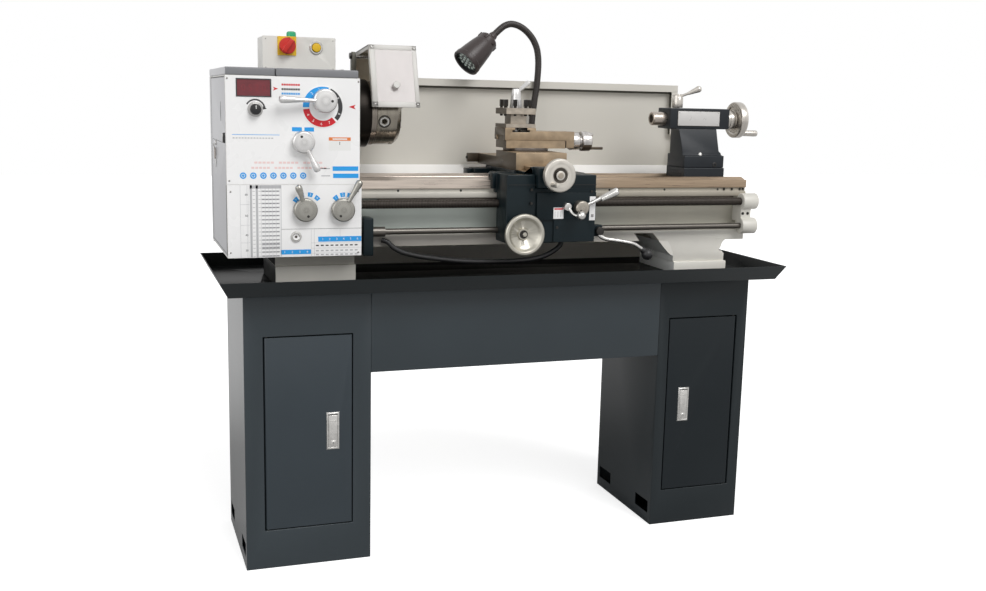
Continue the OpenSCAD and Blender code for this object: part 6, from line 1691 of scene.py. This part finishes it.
@dataclass(frozen=True)
class Slides:
    """Cross slide, swivel, top slide and tool post."""

    post_at: tuple[float, float] = (55, 2)

    def build(self) -> None:
        """Dresses the slides and the tool post."""
        # Faces that look to the headstock take the painted shade.
        Carried("cross_slide", (MILLED, DARK_STEEL_AND_SHADE), 0.8, 2, self.side_zone,
                cuts=(((12, 35, 1040), (158, 196, 1058)),)).dress()
        # The swivel ring is darker steel; faces that look to the headstock take the painted shade.
        Carried("swivel_base", (MILLED, RING_STEEL, DARK_STEEL_AND_SHADE), 0.6, 2, lambda c, n: 1 if c.z < 1066 else 2
                * self.side_zone(c, n)).dress()
        self.stop()
        Carried("top_slide", (MILLED, BLACKED, DARK_STEEL_AND_SHADE), 0.8, 2, self.slot_zone).dress()
        self.post()
        self.wheel()

    def side_zone(self, centre: Vector, normal: Vector) -> int:
        """Painted shade: a darker copy of the steel on the faces that look to the headstock, away from the light."""
        return 1 if normal.x < -0.7 else 0

    def slot_zone(self, centre: Vector, normal: Vector) -> int:
        """Dark T-slot under the tool post, and the painted shade on the faces that look to the headstock."""
        return 1 if abs(centre.x - 55) < 24.9 and 1107.7 < centre.z < 1118.9 else 2 * self.side_zone(centre, normal)

    def stop(self) -> None:
        """Travel stop at the back of the cross slide."""
        form = Form()
        form.plate((-22, 181, 1015), (18, 194.5, 1040.5), 0, 1)
        form.turned(Axis.X, (0, 188, 1028), [(0, -22), (4.5, -22), (4.2, -25), (0, -25.4)], 1, 24)
        form.piece("cross_slide_stop", "cross_slide", DARK_STEEL_AND_SHADE, BLACKED)

    def post(self) -> None:
        """Tool post with dark clamping screws and a satin clamping lever."""
        # Clamping screws in blacked steel; faces that look to the headstock take the painted shade.
        Carried("tool_post", (POST_STEEL, BLACKED, DARK_STEEL_AND_SHADE), 0.6, 1,
                lambda c, n: 1 if c.z > 1172 or abs(c.z - 1153) < 2.6 else 2 * self.side_zone(c, n)).dress()
        satin = turned_steel("clamp_lever_steel", Axis.Z, (self.post_at[0], self.post_at[1], 0), (0.62, 0.61, 0.60),
                             0.3)
        Carried("tool_post_lever", (satin,), 0.8, 2).dress()
        form = Form()
        form.ball((101, 36, 1239.9), 7.2, 0)
        form.piece("clamp_lever_end", "tool_post_lever", satin)

    def wheel(self) -> None:
        """Top slide's handwheel with its dial marks."""
        steel = turned_steel("top_wheel_steel", Axis.X, (0, -2, 1083.8), (0.52, 0.50, 0.48), 0.26, 0.0012)
        # The handle's lower part takes the darker steel: painted shade on its underside.
        Carried("top_handwheel", (steel, DARK_STEEL_AND_SHADE), 0.7, 2, lambda c, n: 1 if c.x > 248 and c.z < 1075 else 0).dress()
        form = Form()
        for k, (y, z) in enumerate(around(40, 24.05, (-2, 1083.8))):
            form.rod((216, y, z), (220 if k % 5 else 223, y, z), 0.35, None, 0, 6)
        form.piece("top_wheel_dial", "top_handwheel", INK_BLACK)


# ---- lamp


@dataclass(frozen=True)
class WorkLamp:
    """Work lamp on a ribbed gooseneck, on a bracket at the back of the saddle."""

    path: tuple[Point, ...] = ((181, 190, 1034), (176, 188, 1080), (175.9, 188, 1137), (181.9, 188, 1194.9),
                               (187.7, 188, 1238.2), (190.6, 188, 1295.5), (186.9, 188, 1332.4), (178.4, 188, 1355.9),
                               (165.3, 188, 1375.5), (146.2, 188, 1393), (125.9, 188, 1403.9), (104, 188, 1408),
                               (84.7, 188, 1402.7), (69.7, 188, 1391.8), (49.6, 188, 1373.1))
    rib: float = 4.4
    round: float = 195.0
    down: float = 131.0

    def build(self) -> None:
        """Makes the bracket with the neck, then the head with its lens."""
        form = Form()
        x, y, z = self.path[0]
        form.plate((x - 16, 119.4, 972), (x + 16, 129, 1017.5), 0, 1.4)
        form.plate((x - 16, 119.4, 1007.5), (x + 16, y + 16, 1017.5), 0, 1.4)
        form.turned(Axis.Z, (x, y, 0), [(0, 1017), (15, 1017), (15, 1023), (13.4, 1026), (12, z + 4), (10.6, z + 6),
                                        (0, z + 6)], 0, 40)
        line = even_line(smooth_line(self.path), self.rib / 4)
        form.sweep(line, [(9.7, 9.45, 9.1, 9.45)[i % 4] for i in range(len(line))], 1, 20)
        form.piece("lamp_neck", "carriage", PLASTIC, HOSE)
        self.head()

    def head(self) -> None:
        """Flared head with its shoulder, rim, lens, emitters and screws."""
        form = Form()
        form.turned(Axis.Z, (0, 0, 0), [(0, -6), (10, -6), (12, 0), (13, 8), (18, 12), (25, 17), (28.6, 21),
                                        (29.6, 24), (29.6, 36), (30.4, 38), (31.6, 44), (34, 56), (38, 85),
                                        (40.4, 106), (40.4, 108), (42, 110), (42.5, 121), (41.6, 123), (37.6, 123),
                                        (36.6, 121.5), (36.6, 108), (0, 108)], 0, 64)
        for turn in range(0, 360, 60):
            fin = Form()
            fin.plate((24, -5, 20), (31.6, 5, 35), 0, 2.6)
            form.merge(fin, Matrix.Rotation(math.radians(turn + 20), 4, "Z"))
        form.turned(Axis.Z, (0, 0, 0), [(36.7, 109), (36.7, 121.8), (35.2, 121.8), (35, 109)], 3, 64)
        form.turned(Axis.Z, (0, 0, 0), [(0, 112.6), (35.1, 112.6), (35.1, 114), (0, 115)], 1, 56)
        for ring, count in ((0, 1), (12.5, 6), (25, 12)):
            for x, y in around(count, ring):
                form.turned(Axis.Z, (x, y, 0), [(0, 112.8), (4, 112.8), (4, 114.6), (2.8, 115.8), (0, 116.2)], 2, 16)
        place = (Matrix.Translation(Vector(self.path[-1])) @ Matrix.Rotation(math.radians(self.round), 4, "Z")
                 @ Matrix.Rotation(math.radians(self.down), 4, "Y"))
        bmesh.ops.transform(form.bm, matrix=place, verts=form.bm.verts)
        form.piece("lamp_head", "carriage", LAMP_PLASTIC, LENS, EMITTER, PLASTIC, replaces=("lamp",))


# ---- tailstock


@dataclass(frozen=True)
class Tailstock:
    """Tailstock with its quill, lock and handwheel."""

    axis_z: float = 1150.5
    left: float = 540.0
    lock_x: float = 550.0
    wheel: float = 713.8

    def build(self) -> None:
        """Dresses the casting and fits plate, oiler, screws and dials."""
        centre = (0, 0, self.axis_z)
        Carried("tailstock", (TAIL_PAINT,), 2.4, 3, cuts=(((480, -80, 980), (self.left, 80, 1122)),
                                                          ((480, 15, 1051.5), (self.left + 26, 80, 1122)),
                                                          ((480, 27, 980), (self.left + 26, 80, 1051.6)))).dress()
        quill = Finish("quill_steel", (0.40, 0.355, 0.31), 0.27, metal=0.85, mottle=0.12, patch=(0.05, 0.006, 0.006),
                       grain=(0.02, 0.0006, 0.0006), relief=0.06)
        Carried("quill", (quill,)).dress()
        self.lock()
        self.plate()
        self.handwheel(centre)

    def lock(self) -> None:
        """Quill clamp: a slim post with a flared grip."""
        lock = turned_steel("quill_lock_steel", Axis.Z, (self.lock_x, 0, 0), (0.52, 0.49, 0.45), 0.3, 0.001)
        form = Form()
        x = self.lock_x
        form.turned(Axis.Z, (x, 0, 0), [(0, 1176), (6, 1176), (6, 1182.4), (14.6, 1182.4), (15.4, 1184), (15.4, 1210),
                                        (14, 1212), (14, 1217), (11, 1221), (0, 1221.4)], 0, 48)
        form.rod((x + 6, 0, 1214), (x + 30, -9, 1224), 3.6, 3.8, 0, 24)
        form.rod((x + 28, -8.4, 1223), (x + 56, -17, 1236), 4.4, 9.4, 0, 28)
        form.ball((x + 56, -17, 1236), 9.4, 0)
        form.piece("quill_lock_lever", "quill_lock", lock, replaces=("quill_lock",))

    def plate(self) -> None:
        """Blank plate in its dark border, the oiler, the set screw and the wiper."""
        form = Form()
        y = -38
        form.plate((531.5, y - 0.6, 1130.5), (669.5, y, 1175), 2, 0.3)
        form.plate((533.5, y - 1.3, 1132.5), (667.5, y - 0.4, 1173), 0, 0.3)
        for x in (537.5, 663.5):
            for z in (1136.5, 1169):
                form.turned(Axis.Y, (x, 0, z), [(0, y - 1.2), (1.8, y - 1.2), (1.5, y - 2), (0, y - 2.2)], 1, 18)
        form.turned(Axis.Z, (598, -58, 0), [(0, 1048), (7, 1048), (7, 1052), (6, 1055.5), (3.4, 1058.4), (0, 1058.8)],
                    1, 28)
        form.turned(Axis.Y, (638, 0, 1024), [(0, -73), (6.4, -73), (6.4, -75.8), (5.6, -76.3), (3.6, -76.3),
                                             (3.4, -74.4), (0, -74.2)], 2, 24)
        form.plate((self.left - 0.4, -58, 987), (self.left + 4, 27, 1000), 3)
        form.piece("tailstock_plate", "tailstock", SILVER_PLATE, STEEL, BLACKED, TAIL_PAINT)

    def handwheel(self, centre: Point) -> None:
        """Handwheel with its dial and its thick handle."""
        wheel = turned_steel("tail_wheel_steel", Axis.X, centre, (0.50, 0.47, 0.43), 0.28, 0.001)
        x = self.wheel
        Carried("tailstock_handwheel", (wheel,), 0.8, 2, shift=(12, 0, 0),
                cuts=(((x + 44.5, -30, 1080), (x + 130, 30, 1130)),)).dress()
        form = Form()
        form.turned(Axis.X, centre, [(0, x - 12.4), (25.6, x - 12.4), (26.4, x - 11.6), (26.4, x - 1.4),
                                     (25.6, x - 0.6), (25.6, x + 1), (0, x + 1)], 1, 72)
        for k, (y, z) in enumerate(around(50, 26.45, (0, self.axis_z))):
            form.rod((x - 11, y, z), (x - 7 if k % 5 else x - 4, y, z), 0.35, None, 0, 6)
        y, z = -8, self.axis_z - 38
        form.turned(Axis.X, (0, y, z), [(0, x + 40), (4, x + 40), (4, x + 47), (7.4, x + 48), (8.2, x + 54),
                                        (9.2, x + 90), (8.6, x + 97), (6, x + 99), (0, x + 99.4)], 1, 36)
        form.piece("tail_wheel_dial", "tailstock_handwheel", INK_BLACK, wheel)


def main() -> None:
    """Builds the studio, then each sub-assembly in order."""
    logging.basicConfig(level=logging.INFO, format="%(message)s")
    scene = bpy.context.scene
    scene.view_settings.view_transform = "Standard"
    Studio().build()
    CableConduit().build()
    for assembly in (Stand(), Bed(), Headstock(), GearTrain(), ElectricalBox(), Chuck(), ChuckGuard(), SplashGuard(),
                     Carriage(), Slides(), WorkLamp(), Tailstock()):
        assembly.build()
        LOG.info("%s done", type(assembly).__name__)


if __name__ == "__main__":
    main()
